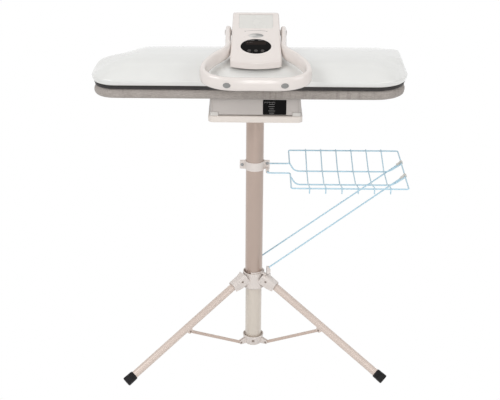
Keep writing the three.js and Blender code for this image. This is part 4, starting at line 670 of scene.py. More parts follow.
tray_shapes += [wire([(CROSS_FIRST + index * CROSS_PITCH, y, z) for y, z in cross], CROSS_WIRE, 4.5)
                for index in range(6)]
build("rack_wires", joined(*tray_shapes), "rack", wire_coat, ["rack_tray"], 45)

for name, clip_y in CLIP_PLACES.items():
    foot = PROP_FEET[name]
    top, bend_at = Vector((RACK_RIGHT, clip_y, RACK_LEVEL)), Vector((*foot, PROP_TOP + 21.3))
    away = (bend_at - top).normalized()
    strut = wire([top + away * 7, bend_at, (*foot, PROP_TOP + 0.3)], RACK_WIRE, 16)
    build(f"rack_prop_{name}", strut, "rack", wire_coat, [f"rack_strut_{name}"], 45)
    inner, outer = RACK_WIRE + 0.3, RACK_WIRE + 2.9
    sleeve = moved(tube(inner, outer, -7, 7, 0.6, 36), shift(*top) @ spin(QUARTER, "X"))
    boss = turned(eased([(inner, 6.7), (inner, 17), (outer, 17), (outer, 3), (3.4, 3)], 0.5), 36)
    boss = moved(boss, shift(*top) @ away.to_track_quat("Z", "Y").to_matrix().to_4x4())
    build(f"rack_clip_block_{name}", joined(sleeve, boss), "rack", clip_plastic,
          [f"rack_clip_{name}"])


# Platform: a pressed steel pan with a rolled lip, painted cream, on a square flange.
# The flange's sleeve is welded round the pole's top, and the bead shows under the plate.
PAN_HALF, PAN_DEEP, PAN_BOTTOM, PAN_TOP, PAN_WALL, PAN_CORNER, PAN_ROUND = 146, 130, 866, 886, 2.2, 18, 5
FLANGE_HALF, FLANGE_TOP, FLANGE_THICK, FLANGE_CORNER, FLANGE_EDGE = 65, 883.5, 5, 9, 0.8
SLEEVE_INNER, SLEEVE_OUTER, SLEEVE_LOW, SLEEVE_HIGH = 28.8, 31.8, 844.5, 879


def rounded_block(half_x, front, rear, corner, levels):
    """A rounded rectangle that runs through levels of (inset, height)."""
    rings = []
    for drawn_in, height in levels:
        half = half_x - drawn_in
        flat = eased(oblong(-half, half, front + drawn_in, rear - drawn_in), max(corner - drawn_in, 0.6), 8)
        rings.append([(x, y, height) for x, y in flat])
    return stacked(rings)


def rounded_top(radius, top):
    """Levels round a quarter, from an upright side to a flat top."""
    angles = [QUARTER * step / 6 for step in range(7)]
    return [(radius * (1 - math.cos(angle)), top - radius * (1 - math.sin(angle))) for angle in angles]


platform_paint = painted("platform_paint", "EBE2DA", 0.05, 0.36, 0.015)
under_pan = [(PAN_WALL + drawn_in, height) for drawn_in, height in rounded_top(3, PAN_TOP - PAN_WALL)]
pan_levels = [*under_pan[::-1], (PAN_WALL, PAN_BOTTOM + 0.6), (PAN_WALL - 0.5, PAN_BOTTOM), (0.6, PAN_BOTTOM),
              (0, PAN_BOTTOM + 0.6), *rounded_top(PAN_ROUND, PAN_TOP)]
build("platform_pan", rounded_block(PAN_HALF, -PAN_DEEP, PAN_DEEP, PAN_CORNER, pan_levels), "stand",
      platform_paint, ["platform"])

flange_low = FLANGE_TOP - FLANGE_THICK
flange_levels = [(FLANGE_EDGE, flange_low), (0, flange_low + FLANGE_EDGE), (0, FLANGE_TOP - FLANGE_EDGE),
                 (FLANGE_EDGE, FLANGE_TOP)]
flange_plate = rounded_block(FLANGE_HALF, -FLANGE_HALF, FLANGE_HALF, FLANGE_CORNER, flange_levels)
bead_profile = [(SLEEVE_OUTER + out, height) for out, height in (
    (0, 872.5), (2.2, 873.8), (4.4, 876.4), (5.4, 878.6), (0, 878.6))]
points, faces = turned(bead_profile, 180)
swells = [1 + 0.012 * math.sin(37 * math.atan2(y, x)) for x, y, _ in points]
bead = [(x * swell, y * swell, z) for (x, y, z), swell in zip(points, swells)], faces
sleeve = tube(SLEEVE_INNER, SLEEVE_OUTER, SLEEVE_LOW, SLEEVE_HIGH, 0.6)
build("flange_plate", joined(flange_plate, sleeve, bead), "stand", platform_paint,
      ["pole_flange"])


# Base: a moulded cream housing on four grey rubber feet, with a recessed front panel. A glossy black gauge
# window is set in the panel, and the socket for the mains lead is at the back.
BASE_HALF, BASE_FRONT, BASE_REAR, BASE_BOTTOM, BASE_TOP, BASE_CORNER = 139.5, -126, 222, 889.5, 942.5, 10
PANEL_HALF, PANEL_TOP, PANEL_DEPTH = 132.5, 935.5, 2
GAUGE_LEFT, GAUGE_RIGHT, GAUGE_LOW, GAUGE_HIGH, GAUGE_FACE, GAUGE_BACK = 23, 95, 890.2, 938.9, -124.3, -121
INLET_X, INLET_HEIGHT = 80, 913.5
FOOT_SIZE, FOOT_LOW, FOOT_HIGH = 26, 886.3, 898.3
# The gap round a piece that is set in, and how far a cutter reaches under and past the faces it cuts.
GAP, UNDER, PAST_FRONT, CUT_WELD, CUT_EDGE = 0.3, 880, -140, 0.002, 0.01


def cut(shape, *cutters):
    """A closed shape with other closed shapes taken out of it."""
    whole, *tools = [placed("cut_work", mesh_from("cut_work", *each, CUT_WELD)) for each in (shape, *cutters)]
    for tool in tools:
        step = whole.modifiers.new("cut", "BOOLEAN")
        step.operation, step.solver, step.object = "DIFFERENCE", "EXACT", tool
    result = bpy.data.meshes.new_from_object(whole.evaluated_get(bpy.context.evaluated_depsgraph_get()))
    for used in (whole, *tools):
        bpy.data.objects.remove(used, do_unlink=True)
    return [tuple(each.co) for each in result.vertices], [tuple(each.vertices) for each in result.polygons]


def plain_plastic(name, code, roughness, coat=0.0, grain=0.12, cells=900, shine=0.5):
    """Moulded plastic with a faint grain and a slight drift of tone."""
    def fill(nodes):
        drift = nodes.noise(22, 3)
        return {"Base Color": nodes.mixed(drift, linear(code), linear(code, 0.95)),
                "Roughness": drift * 0.06 + roughness, "Coat Weight": coat, "Coat Roughness": 0.06,
                "Specular IOR Level": shine, "Normal": nodes.bump(grain, 0.0002, nodes.noise(cells, 2))}
    return finish(name, fill)


# The housing's cream is darkened with painted shade, for the shade that the board above casts on it.
housing_plastic = plain_plastic("housing_plastic", "C6BFBA", 0.42)
grey_rubber = plain_plastic("grey_rubber", "DAD6D1", 0.6)
housing_levels = [(1, BASE_BOTTOM), (0, BASE_BOTTOM + 1), *rounded_top(3, BASE_TOP)]
housing = rounded_block(BASE_HALF, BASE_FRONT, BASE_REAR, BASE_CORNER, housing_levels)
panel = [(-PANEL_HALF, UNDER), (PANEL_HALF, UNDER), (PANEL_HALF, PANEL_TOP, 5), (-PANEL_HALF, PANEL_TOP, 5)]
recess = plate(eased(panel, 0), PAST_FRONT, BASE_FRONT + PANEL_DEPTH, CUT_EDGE)
window = eased(oblong(GAUGE_LEFT - GAP, GAUGE_RIGHT + GAP, GAUGE_LOW - GAP, GAUGE_HIGH + GAP), 3)
window_hole = plate(window, PAST_FRONT, GAUGE_BACK + GAP, CUT_EDGE)
inlet_hole = moved(rod(6.6, 208, 230, axis="Y", edge=CUT_EDGE), shift(INLET_X, 0, INLET_HEIGHT))
notches = []
for end, front, notch_front in (("front", -127.6, -137.6), ("rear", 102.4, 102.4 - GAP)):
    for name, way in (("left", -1), ("right", 1)):
        outer_x, inner_x = way * (BASE_HALF + GAP), way * (BASE_HALF + GAP - FOOT_SIZE)
        notches.append(block(inner_x - way * GAP, outer_x + way * 5, notch_front, front + FOOT_SIZE + GAP,
                             UNDER, FOOT_HIGH + GAP, 0.1, CUT_EDGE))
        foot = block(inner_x, outer_x, front, front + FOOT_SIZE, FOOT_LOW, FOOT_HIGH, 3.2, 0.9)
        build(f"rubber_foot_{end}_{name}", foot, "stand", grey_rubber,
              [f"base_foot_{end}_{name}"])
build("housing_shell", cut(housing, recess, window_hole, inlet_hole, *notches), "stand",
      housing_plastic, ["base_housing"])

window_plastic = plain_plastic("window_plastic", "0B0A0A", 0.14, 0.0, 0.02, 900, 0.08)
printed_grey = plain_plastic("printed_grey", "8C8A88", 0.5)
pane = eased(oblong(GAUGE_LEFT, GAUGE_RIGHT, GAUGE_LOW, GAUGE_HIGH), 3, 5)
build("gauge_pane", plate(pane, GAUGE_FACE, GAUGE_BACK, 0.6), "stand", window_plastic,
      ["gauge_window"])


def mark(start, length, low, high):
    """A printed mark on the gauge window, from a place along it."""
    left = GAUGE_LEFT + start
    return plate(oblong(left, left + length, low, high), GAUGE_FACE - 0.12, GAUGE_FACE + 0.2, 0.02)


gauge_marks = [mark(5 + index * 2.6, 0.9, 929 if index % 3 else 927, 932) for index in range(13)]
gauge_marks += [mark(indent, length, row, row + 1.2) for row, indent, length in (
    (923, 19, 17), (916, 17, 19), (909, 20, 14), (902, 17, 20), (895, 19, 16))]
build("gauge_marks", joined(*gauge_marks), "stand", printed_grey)

black_plastic = plain_plastic("black_plastic", "2B292A", 0.5, 0.0, 0.25)
inlet_profile = eased([(4.2, 215), (6.3, 208.3), (6.3, 222.3), (9, 222.3), (9, 230.4), (4.2, 230.4)], 0.4)
inlet_turn = shift(INLET_X, 0, INLET_HEIGHT) @ spin(-QUARTER, "X")
build("inlet_socket", moved(turned(inlet_profile, 48), inlet_turn), "stand", black_plastic,
      ["power_inlet"])


# Board: a steel tray, and on it the ironing pad, foam in a woven grey-taupe cover that is drawn tight over
# its edge. The cover gathers in slanted creases along the side, more of them at the corners.
BOARD_FRONT, BOARD_REAR, BOARD_RIGHT, BOARD_STEPS, SPINE_LEFT, SPINE_RIGHT = -150, 180, 471, 420, -353, 318
BOARD = [(-505, BOARD_FRONT, 132), (BOARD_RIGHT, BOARD_FRONT, 105), (BOARD_RIGHT, BOARD_REAR, 64),
         (-345, BOARD_REAR, 100), (-505, 2, 62)]
PAD_BOTTOM, PAD_TOP, PAD_CORNER, FOLD_MOST = 945, 974.5, 106, 2.6
TRAY_HEIGHTS = (942.9, 943.3, 947.8, 948.2)
PAD_LEVELS = [
    (24, 3.5), (22.4, 3.4), (22.3, 0.5), (14, 0), (10.2, 0.8), (8.0, 2.8), (6.8, 6), (6.2, 9.5), (6.2, 13),
    (6.8, 16.8), (8.2, 20.4), (10.4, 23.6), (13.2, 26.2), (16.5, 28.2), (20.5, 29.3), (26, 29.5)]


def clamped(value):
    return min(1, max(0, value))


def spaced(outline):
    """A closed outline as the board's number of points, evenly spaced."""
    starts = [Vector(point) for point in outline]
    ends = [*starts[1:], starts[0]]
    lengths = [(end - start).length for start, end in zip(starts, ends)]
    total, made, piece, passed = sum(lengths), [], 0, 0.0
    for index in range(BOARD_STEPS):
        wanted = total * index / BOARD_STEPS
        while passed + lengths[piece] < wanted:
            passed += lengths[piece]
            piece += 1
        made.append(tuple(starts[piece].lerp(ends[piece], (wanted - passed) / lengths[piece])))
    return made


board_line = spaced(eased(BOARD, 0, 32))
pad_line = spaced(eased([(*BOARD[0][:2], PAD_CORNER), *BOARD[1:]], 0, 32))


def board_ring(drawn_in, height, pull=0.0):
    """The board's outline drawn in, then pulled towards its long spine."""
    ring = []
    for x, y in inset(board_line, drawn_in):
        spine = min(max(x, SPINE_LEFT), SPINE_RIGHT)
        ring.append((x + (spine - x) * pull, y * (1 - pull), height))
    return ring


def board_plate(drawn_in, edge, heights):
    """A plate of the board's outline, whose small edges lie between its outer two heights at each side."""
    return stacked([board_ring(drawn_in + more, z) for more, z in zip((edge, 0, 0, edge), heights)])


def as_it_is(node, coat, edge=0.0):
    """A CAD piece kept as drawn, with a finish and a worn edge."""
    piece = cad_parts[node]
    piece.data.materials.clear()
    piece.data.materials.append(coat)
    if edge:
        rounding = piece.modifiers.new("edge", "BEVEL")
        rounding.width, rounding.segments, rounding.limit_method = edge / 1000, 2, "ANGLE"
        rounding.angle_limit = math.radians(40)


def woven(nodes):
    warp = nodes.noise(520, 2, 0.5, (1, 0.16, 1))
    weft = nodes.noise(520, 2, 0.5, (0.16, 1, 1))
    worn = nodes.noise(14, 4, 0.6)
    cloth = nodes.mixed((warp + weft).above(0.7, 0.6), linear("9C948E"), linear("BCB4AE"))
    cloth = nodes.mixed(worn.above(0.45, 0.4) * 0.35, cloth, linear("7A716B"))
    pleat_folds_and_painted_shade = nodes.noise(150, 2, 0.5, (1, 0.3, 0.12)) * nodes.noise(5, 2, 0.5, (1, 0.5, 0.1)).above(0.44, 0.2)
    # Along the pleats the cloth is darkened with painted shade, as if shade lay in their folds; the pleats
    # also feed the bump.
    cloth = nodes.mixed(pleat_folds_and_painted_shade.above(0.42, 0.3) * 0.5, cloth, linear("837A74"))
    return {"Base Color": cloth, "Roughness": worn * 0.1 + 0.84, "Sheen Weight": 0.25,
            "Normal": nodes.bump(0.6, 0.001, warp + weft + pleat_folds_and_painted_shade * 3)}


build("board_tray_plate", board_plate(22, 0.5, TRAY_HEIGHTS), "stand", steel, ["board_tray"])
chance = random.Random(11)
creases = []
for index, (x, y) in enumerate(pad_line):
    on_corner = BOARD_FRONT + 0.1 < y < BOARD_REAR - 0.1 and abs(x - BOARD_RIGHT) > 0.1
    if chance.random() < (0.34 if on_corner else 0.12):
        creases.append((index, chance.uniform(0.5, 1.9), chance.uniform(0.8, 2.1), chance.uniform(-1.6, 3.4)))
pad_rings = []
for drawn_in, rise in PAD_LEVELS:
    level, share = [], rise / (PAD_TOP - PAD_BOTTOM)
    side = max(0.0, math.sin(math.pi * clamped(share * 0.94 + 0.05))) * (1 if drawn_in < 13 else 0.2)
    folds = [0.0] * BOARD_STEPS
    for start, depth, width, slant in creases:
        centre = start + slant * (share - 0.5) * 2
        for index in range(round(centre) - 6, round(centre) + 7):
            folds[index % BOARD_STEPS] += depth * math.exp(-((index - centre) / width) ** 2)
    for (x, y), (dx, dy), fold in zip(inset(pad_line, drawn_in), inset(pad_line, drawn_in + 1), folds):
        amount = min(fold, FOLD_MOST) * side
        level.append((x + (dx - x) * amount, y + (dy - y) * amount, PAD_BOTTOM + rise))
    pad_rings.append(level)
pad_piece = build("pad_cover", stacked(pad_rings), "stand", finish("pad_cloth", woven),
                  ["ironing_pad"], 60)


# Press: a coated aluminium heating plate, a felted board over it and the glossy white shell that hides both.
# The shell is one moulding: its side turns in at the bottom, and over a soft crease rises a low crown that
# has blunt shoulders at its two ends. The hinge column, its pin and spring and the arm are behind.
SHELL_BOTTOM, SHELL_CREASE, SHELL_RISE, SHELL_WALL = 987, 1007, 39, 3
PLATE_HEIGHTS, FELT_HEIGHTS = (975, 975.6, 982.4, 982.9), (983.3, 983.8, 990.6, 991.1)
CROWN_POWER, CROWN_STEEP, FRONT_EASE, SHOULDER_RISE = 2.6, 0.62, 0.46, 15
SHOULDER_LEFT, LEFT_SPREAD, SHOULDER_RIGHT, RIGHT_SPREAD = -452, 45, 444, 24
CROWN_PULLS = [0.97 * (step / 34) ** 1.7 for step in range(35)]
SHELL_LEVELS = [
    (6.4, SHELL_BOTTOM), (5.2, SHELL_BOTTOM + 0.5), (4.1, SHELL_BOTTOM + 2), (2.6, SHELL_BOTTOM + 5),
    (1.2, SHELL_BOTTOM + 9), (0.3, SHELL_BOTTOM + 12.5), (0, SHELL_CREASE - 5), (0.2, SHELL_CREASE - 3.4),
    (0.8, SHELL_CREASE - 2), (1.7, SHELL_CREASE - 1), (2.8, SHELL_CREASE - 0.4)]
INNER_LEVELS = [
    (0, SHELL_CREASE - 4), (2.2, SHELL_BOTTOM + 6), (4.6, SHELL_BOTTOM + 0.8), (4.3, SHELL_BOTTOM)]
HINGE_Y, HINGE_Z, COIL_RADIUS, COIL_WIRE, COIL_TURNS, COIL_PITCH, COIL_STEPS = 206, 1004, 9.3, 2, 6, 5.2, 28


def plate_coat_fill(nodes):
    wear = nodes.noise(60, 4, 0.6)
    return {"Base Color": nodes.mixed(wear, linear("2E2C2C"), linear("474444")), "Metallic": 0.6,
            "Roughness": wear * 0.15 + 0.34}


def smooth(share):
    """0 to 1, with a soft start and a soft end."""
    share = clamped(share)
    return share * share * (3 - 2 * share)


def crown_rise(pull, x, y, ease):
    """The crown's height over the crease, where the outline is pulled in by a share.
    It rises more gently towards the front and more steeply round the two ends."""
    past_end = max((SHOULDER_LEFT - x) / LEFT_SPREAD, (x - SHOULDER_RIGHT) / RIGHT_SPREAD)
    blunt = smooth(past_end) * smooth((y + 60) / 100)
    shoulder = SHOULDER_RISE * blunt * (1 - math.exp(-38 * pull)) * math.exp(-6 * pull)
    crown = (1 - (1 - pull) ** CROWN_POWER) ** (CROWN_STEEP + ease * smooth((40 - y) / 130))
    return SHELL_RISE * crown + shoulder


def crown_rings(drawn_in, lift, ease=FRONT_EASE):
    """The crown from its crease to its long spine."""
    rings, edge = [], board_ring(drawn_in, SHELL_CREASE + lift)
    for pull in CROWN_PULLS:
        pulled = board_ring(drawn_in, SHELL_CREASE + lift, pull)
        rings.append([(x, y, z + crown_rise(pull, *start[:2], ease))
                      for (x, y, z), start in zip(pulled, edge)])
    return rings


plate_holes = [moved(rod(3, 970, 978, 14, CUT_EDGE), shift(x, y, 0))
               for x in range(-352, 353, 110) for y in (-70, 0, 70)]
heating_plate = cut(board_plate(9, 0.6, PLATE_HEIGHTS), *plate_holes)
plate_metal = finish("plate_metal", plate_coat_fill)
build("heating_plate_body", heating_plate, "press_head", plate_metal, ["heating_plate"])
build("insulator_board", board_plate(6.2, 0.6, FELT_HEIGHTS), "press_head",
      plain_plastic("insulation", "33302D", 0.85, 0.0, 0.6), ["insulator"])
inner_rings = [board_ring(SHELL_WALL + drawn_in, height) for drawn_in, height in INNER_LEVELS]
outer_rings = [board_ring(drawn_in, height) for drawn_in, height in SHELL_LEVELS]
hollow = crown_rings(SHELL_WALL + 4, -SHELL_WALL)[::-1]
shell_plastic = plain_plastic("shell_plastic", "EDEDEA", 0.16, 1.0, 0.02, 60)
build("shell_moulding", stacked([*hollow, *inner_rings, *outer_rings, *crown_rings(4, 0)]), "press_head",
      shell_plastic, ["plate_shell"], 50)

as_it_is("hinge_column", cast_cream, 0.9)
as_it_is("hinge_pin", steel, 0.5)
as_it_is("press_arm", plain_plastic("arm_casting", "9C9C9D", 0.5, 0.0, 0.5, 600), 0.9)
coil_line = []
for step in range(COIL_TURNS * COIL_STEPS + 1):
    angle, x = 2 * math.pi * step / COIL_STEPS, (step / COIL_STEPS - COIL_TURNS / 2) * COIL_PITCH
    coil_line.append(Vector((x, HINGE_Y + COIL_RADIUS * math.cos(angle),
                             HINGE_Z + COIL_RADIUS * math.sin(angle))))
coil = drawn(coil_line, circle(COIL_WIRE, WIRE_SIDES))
build("lift_coil", coil, "stand", steel, ["lift_spring"], 45)


# Head: a cream glossy cover over the tank and pump, with a sloping deck that rolls over into a bowed front.
# In the deck are the filler lid, a bare metal badge and a black oval display with three buttons.
ROLL_Y, ROLL_Z, DECK_REAR, HEAD_TOP, HEAD_REAR, HEAD_REAR_TOP = -112, 1062, 85, 1160, 146, 1118
HEAD_HALF, HEAD_REAR_HALF, HEAD_BOW, HEAD_FRONT, HEAD_LOW, HEAD_EDGE = 79, 72.5, 12, -104, 1013, 7
HEAD_WALL, PIVOT_Y, PIVOT_Z = 3, 44, 1104
DECK_SLOPE = math.atan2(HEAD_TOP - ROLL_Z, DECK_REAR - ROLL_Y)
DECK = shift(0, ROLL_Y, ROLL_Z) @ spin(DECK_SLOPE, "X")
DISPLAY_AT, DISPLAY_WIDE, DISPLAY_HIGH, LENS_TOP = 59.5, 94, 66, 1.2
SCREEN_TOP = LENS_TOP + 0.32
BADGE_AT, BADGE_WIDE, BADGE_HIGH = 108.3, 46, 19
BEZEL_AT, BEZEL_LOW, BEZEL_HIGH, BEZEL_BLEND = 74, (59, 42, 58), (38, 19.5, 107), 0.12
LID_HALF, LID_LENGTH, LID_AT, LID_CORNER, LID_SLACK, LID_BARREL = 52.5, 64, 175, 6, 0.5, 3
LID_REAR, LID_FRONT = LID_AT + LID_LENGTH / 2, LID_AT - LID_LENGTH / 2
KEY_PLACES, KEY_RADIUS, KEY_AT, KEY_BOTTOM = {"left": -20.5, "middle": 0.0, "right": 20.5}, 5.8, 39.3, -5.8
KEY_LEVELS = [(0.6, KEY_BOTTOM), (0, -5.2), (0, 1.2), (0.3, 1.5), (1.2, 1.62), (3.4, 1.5)]


def drawn_corners(corners, distance):
    """Corners of (x, y, radius) whose sides all move in by a distance, each radius with them."""
    made = []
    for index, (x, y, radius) in enumerate(corners):
        here = Vector((x, y))
        into = (here - Vector(corners[index - 1][:2])).normalized()
        out = (Vector(corners[(index + 1) % len(corners)][:2]) - here).normalized()
        left, right = Vector((-into.y, into.x)), Vector((-out.y, out.x))
        middle = (left + right).normalized()
        at = here + middle * distance / middle.dot(left)
        made.append((at.x, at.y, max(radius - distance, 1) if radius else 0))
    return made


def head_skin(wall, floor):
    """The head's closed skin, or the hollow inside it where wall is its thickness."""
    side = [(HEAD_FRONT, floor, 0), (HEAD_REAR, floor, 0), (HEAD_REAR, HEAD_REAR_TOP, 16),
            (DECK_REAR, HEAD_TOP, 16), (ROLL_Y, ROLL_Z, 10)]
    half, edge = HEAD_HALF - wall, HEAD_EDGE - wall
    flat_half = half - edge
    rounding = [QUARTER * step / 6 for step in range(7)]
    stations = [(-flat_half - edge * math.cos(angle), edge * (1 - math.sin(angle))) for angle in rounding]
    flat = [(-flat_half + 2 * flat_half * step / 20, 0.0) for step in range(1, 20)]
    stations += flat + [(-x, drawn_in) for x, drawn_in in stations[::-1]]
    rings = []
    for x, drawn_in in stations:
        ring = []
        for y, z in eased(drawn_corners(side, wall + drawn_in), 0, 9):
            share = clamped((y - HEAD_FRONT) / (DECK_REAR - HEAD_FRONT))
            forward = HEAD_BOW * (1 - (x / half) ** 2) * max(0, 1 - share / 0.35)
            raised = clamped((z - floor) / (ROLL_Z - floor))
            narrow = 1 + (HEAD_REAR_HALF / HEAD_HALF - 1) * share
            ring.append((x * narrow, y - forward, z - forward * raised * math.tan(DECK_SLOPE)))
        rings.append(ring)
    return stacked(rings)


def oval(width, height, centre, count=72):
    """An oval outline on the middle line."""
    return [(width / 2 * across, centre + height / 2 * up) for across, up in circle(1, count)]


def oval_block(width, height, centre, count, levels):
    """An oval that runs through levels of (inset, height)."""
    return stacked([[(x, y, z) for x, y in oval(width - 2 * drawn_in, height - 2 * drawn_in, centre, count)]
                    for drawn_in, z in levels])


def on_deck(outline, low, high, edge=0.4):
    """A plate cut to an outline on the deck, between two heights over it."""
    return moved(level_plate(outline, low, high, edge), DECK)


def cutter(outline, depth=9):
    """A cutter that goes down so deep and stands well over the face."""
    return level_plate(outline, -depth, 6, CUT_EDGE)


def lid_outline(grow, rear_edge):
    half, front = LID_HALF + grow, LID_FRONT - grow
    return eased([(-half, front, LID_CORNER), (half, front, LID_CORNER), (half, rear_edge),
                  (-half, rear_edge)], 0, 8)


def side_rod(way, radius, near, far, sides, edge):
    """A round bar on the handle's axis at one side of the head."""
    return moved(rod(radius, *sorted((way * near, way * far)), sides, edge, "X"), shift(0, PIVOT_Y, PIVOT_Z))


def bezel(grow):
    """The bezel's outline: two ovals that run into each other, found by halving in each direction."""
    outline = []
    for across, up in circle(1, 120):
        low, high = 0.0, 90.0
        for _ in range(30):
            reach = (low + high) / 2
            x, y = reach * across, BEZEL_AT + reach * up
            big, small = [math.hypot(x / (wide + grow), (y - at) / (tall + grow)) - 1
                          for wide, tall, at in (BEZEL_LOW, BEZEL_HIGH)]
            soft = max(BEZEL_BLEND - abs(big - small), 0) / BEZEL_BLEND
            inside = min(big, small) - soft * soft * 0.03 < 0
            low, high = (reach, high) if inside else (low, reach)
        outline.append((low * across, BEZEL_AT + low * up))
    return outline


def deck_bar(x0, x1, y0, y1):
    """A printed mark on the display."""
    return on_deck(oblong(x0, x1, y0, y1), LENS_TOP - 0.2, SCREEN_TOP + 0.12, 0.02)


def badge_fill(nodes):
    brushed = nodes.noise(26, 3, 0.6, (0.5, 1.6, 1))
    return {"Base Color": nodes.mixed(brushed.above(0.42, 0.2), linear("8F8F8E"), linear("DAD8D4")),
            "Metallic": 0.35, "Roughness": brushed * 0.1 + 0.26}


head_plastic = plain_plastic("head_plastic", "EEE6E1", 0.2, 0.55, 0.03, 60)
grey_plastic = plain_plastic("grey_plastic", "8F8F8D", 0.35, 0.3)
raised_crown = stacked([board_ring(0, SHELL_BOTTOM - 5), board_ring(0, SHELL_CREASE),
                        *crown_rings(2.2, 0.4, -0.2)])
arm_room = block(-44.3, 44.3, 26, 160, 900, 1068.3, 0.1, CUT_EDGE)
display_hole = oval(DISPLAY_WIDE + 2 * GAP, DISPLAY_HIGH + 2 * GAP, DISPLAY_AT)
badge_hole = oval(BADGE_WIDE + 2 * GAP, BADGE_HIGH + 2 * GAP, BADGE_AT)
lid_hole = lid_outline(LID_SLACK, LID_REAR + LID_SLACK)
deck_cutters = [moved(each, DECK)
                for each in (cutter(display_hole), cutter(lid_hole), cutter(badge_hole, 1.6))]
cover = cut(head_skin(0, HEAD_LOW), head_skin(HEAD_WALL, HEAD_LOW - 8), raised_crown, arm_room, *deck_cutters)
handle_rods = [side_rod(way, 9, 69.5, 80.2, 40, 0.8) for way in (-1, 1)]
build("head_moulding", joined(cover, *handle_rods), "press_head", head_plastic,
      ["head_cover"], 40)

bezel_rings = [[(x, y, z) for x, y in bezel(grow)]
               for grow, z in ((0, -0.6), (0, 0.15), (-0.8, 0.55), (-2.2, 0.7))]
bezel_body = cut(stacked(bezel_rings), cutter(display_hole), cutter(badge_hole))
build("display_bezel", moved(bezel_body, DECK), "press_head", head_plastic)
key_holes = [moved(rod(KEY_RADIUS + GAP, -9, 9, 36, CUT_EDGE), shift(x, KEY_AT, 0))
             for x in KEY_PLACES.values()]
lens = oval_block(DISPLAY_WIDE, DISPLAY_HIGH, DISPLAY_AT, 96, [
    (0.5, LENS_TOP - 4), (0, LENS_TOP - 3.5), (0, LENS_TOP - 0.9), (0.35, LENS_TOP - 0.3), (1.1, LENS_TOP),
    (8, LENS_TOP + 0.25)])
build("display_pane", moved(cut(lens, *key_holes), DECK), "press_head", window_plastic,
      ["display_lens"])
key_grey = plain_plastic("key_grey", "403C3B", 0.4, 0.0, 0.12, 900, 0.3)
key_profile = [(0.02, KEY_BOTTOM), *[(KEY_RADIUS - drawn_in, z) for drawn_in, z in KEY_LEVELS], (0.02, 1.45)]
for name, x in KEY_PLACES.items():
    key = moved(turned(key_profile, 40, closed=False), DECK @ shift(x, KEY_AT, 0))
    build(f"control_key_cap_{name}", key, f"control_key_{name}", key_grey,
          [f"control_button_{name}"])

screen = on_deck(eased(oblong(-31, 31, 66, 81), 2, 4), LENS_TOP - 0.6, SCREEN_TOP, 0.1)
build("display_screen", screen, "press_head",
      plain_plastic("screen_amber", "231A16", 0.2, 0.0, 0.02, 900, 0.1))
marks = [deck_bar(x, x + 2.2, 85.5, 87.7) for x in (-24, -20.6, -17.2, -13.8, -10.4, -7, 7, 10.4, 13.8, 17.2)]
marks += [deck_bar(-26 + step * 4.6, -24.4 + step * 4.6, 76, 76.9) for step in range(4)]
build("display_marks", joined(*marks), "press_head",
      plain_plastic("screen_marks", "9A9694", 0.4))
build("badge_oval", on_deck(oval(BADGE_WIDE, BADGE_HIGH, BADGE_AT), -1.3, 0.9, 0.5), "press_head",
      finish("badge_metal", badge_fill), ["badge_plate"])
shares = [step / 24 - 0.5 for step in range(25)]
arc_line = [DECK @ Vector((share * 68, 132.5 - 16 * share * share, 0.05)) for share in shares]
arc_dots = [moved(rivet(1.5, 0.6), DECK @ shift(way * 34, 128.5, 0)) for way in (-1, 1)]
deck_arc = joined(drawn(arc_line, circle(0.42, 8)), *arc_dots)
build("deck_arc", deck_arc, "press_head", grey_plastic)

lid_flap = level_plate(lid_outline(0.2, LID_REAR - 1), -3, 0.1, 0.5)
lid_barrel = moved(rod(LID_BARREL, -LID_HALF, LID_HALF, 32, 0.5, "X"),
                   shift(0, LID_REAR - LID_BARREL, -LID_BARREL))
build("lid_flap", moved(joined(lid_flap, lid_barrel), DECK), "tank_lid",
      plain_plastic("lid_plastic", "E5E3DE", 0.24, 0.3, 0.03, 60), ["filler_lid"])
as_it_is("water_tank", plain_plastic("tank_plastic", "DADCDC", 0.3, 0.3), 0.6)
as_it_is("pump", black_plastic, 0.6)
as_it_is("control_board", plain_plastic("circuit_laminate", "3F6B4A", 0.5, 0.2))


# Handle: a broad cream band bent round in front of the head and bolted to its sides on two bosses.
# A grey steam button sits in a pocket at each side of its front.
BAND_THICK, BAND_HALF, BAND_FALL = 18, 20.5, 0.288
STEAM_X, STEAM_WIDE, STEAM_HIGH, STEAM_DROP = 85, 22.5, 15.6, 2.5
ROUTE = [(86.6, PIVOT_Y), (86.9, -10), (89.2, -62), (129, -110), (157, -163), (153, -201), (108, -229)]
STEAM_LEVELS = [(0.4, -7), (0, -6.6), (0, 1.0), (0.5, 1.7), (1.5, 2.2), (3.5, 2.6), (5.5, 2.75)]
# How much of the band's thickness each ring of its rounded ends keeps.
TIP_THICKNESS = (1, 1, 1, 1, 1, 1, 0.86, 0.6)


def through(places, steps):
    """A centripetal curve through places, with so many steps between each two."""
    ends = [2 * places[0] - places[1], *places, 2 * places[-1] - places[-2]]
    line = []
    for index in range(1, len(ends) - 2):
        before, here, there, after = ends[index - 1:index + 3]
        span0, span1, span2 = [(b - a).length ** 0.5
                               for a, b in ((before, here), (here, there), (there, after))]
        along = (there - here) / span1
        leave = ((here - before) / span0 - (there - before) / (span0 + span1) + along) * span1
        reach = (along - (after - here) / (span1 + span2) + (after - there) / span2) * span1
        for step in range(steps):
            t = step / steps
            line.append(here + leave * t + (3 * (there - here) - 2 * leave - reach) * t * t
                        + (2 * (here - there) + leave + reach) * t ** 3)
    return [*line, ends[-2]]


def band_ring(place, ahead, tall, thin):
    """The band's section across the way it runs, squeezed in height and thickness."""
    across = Vector((0, 0, 1)).cross(ahead).normalized()
    up = ahead.cross(across)
    return [place + across * a * thin + up * b * tall for a, b in band_section]


def band_tip(end, way):
    """The rings that round one end of the band over."""
    rings = []
    for step, thin in enumerate(TIP_THICKNESS, 1):
        angle = math.radians(step * 10.6)
        place = route_line[end] + route_ahead[end] * way * BAND_HALF * math.sin(angle)
        rings.append(band_ring(place, route_ahead[end], math.cos(angle), thin))
    return rings


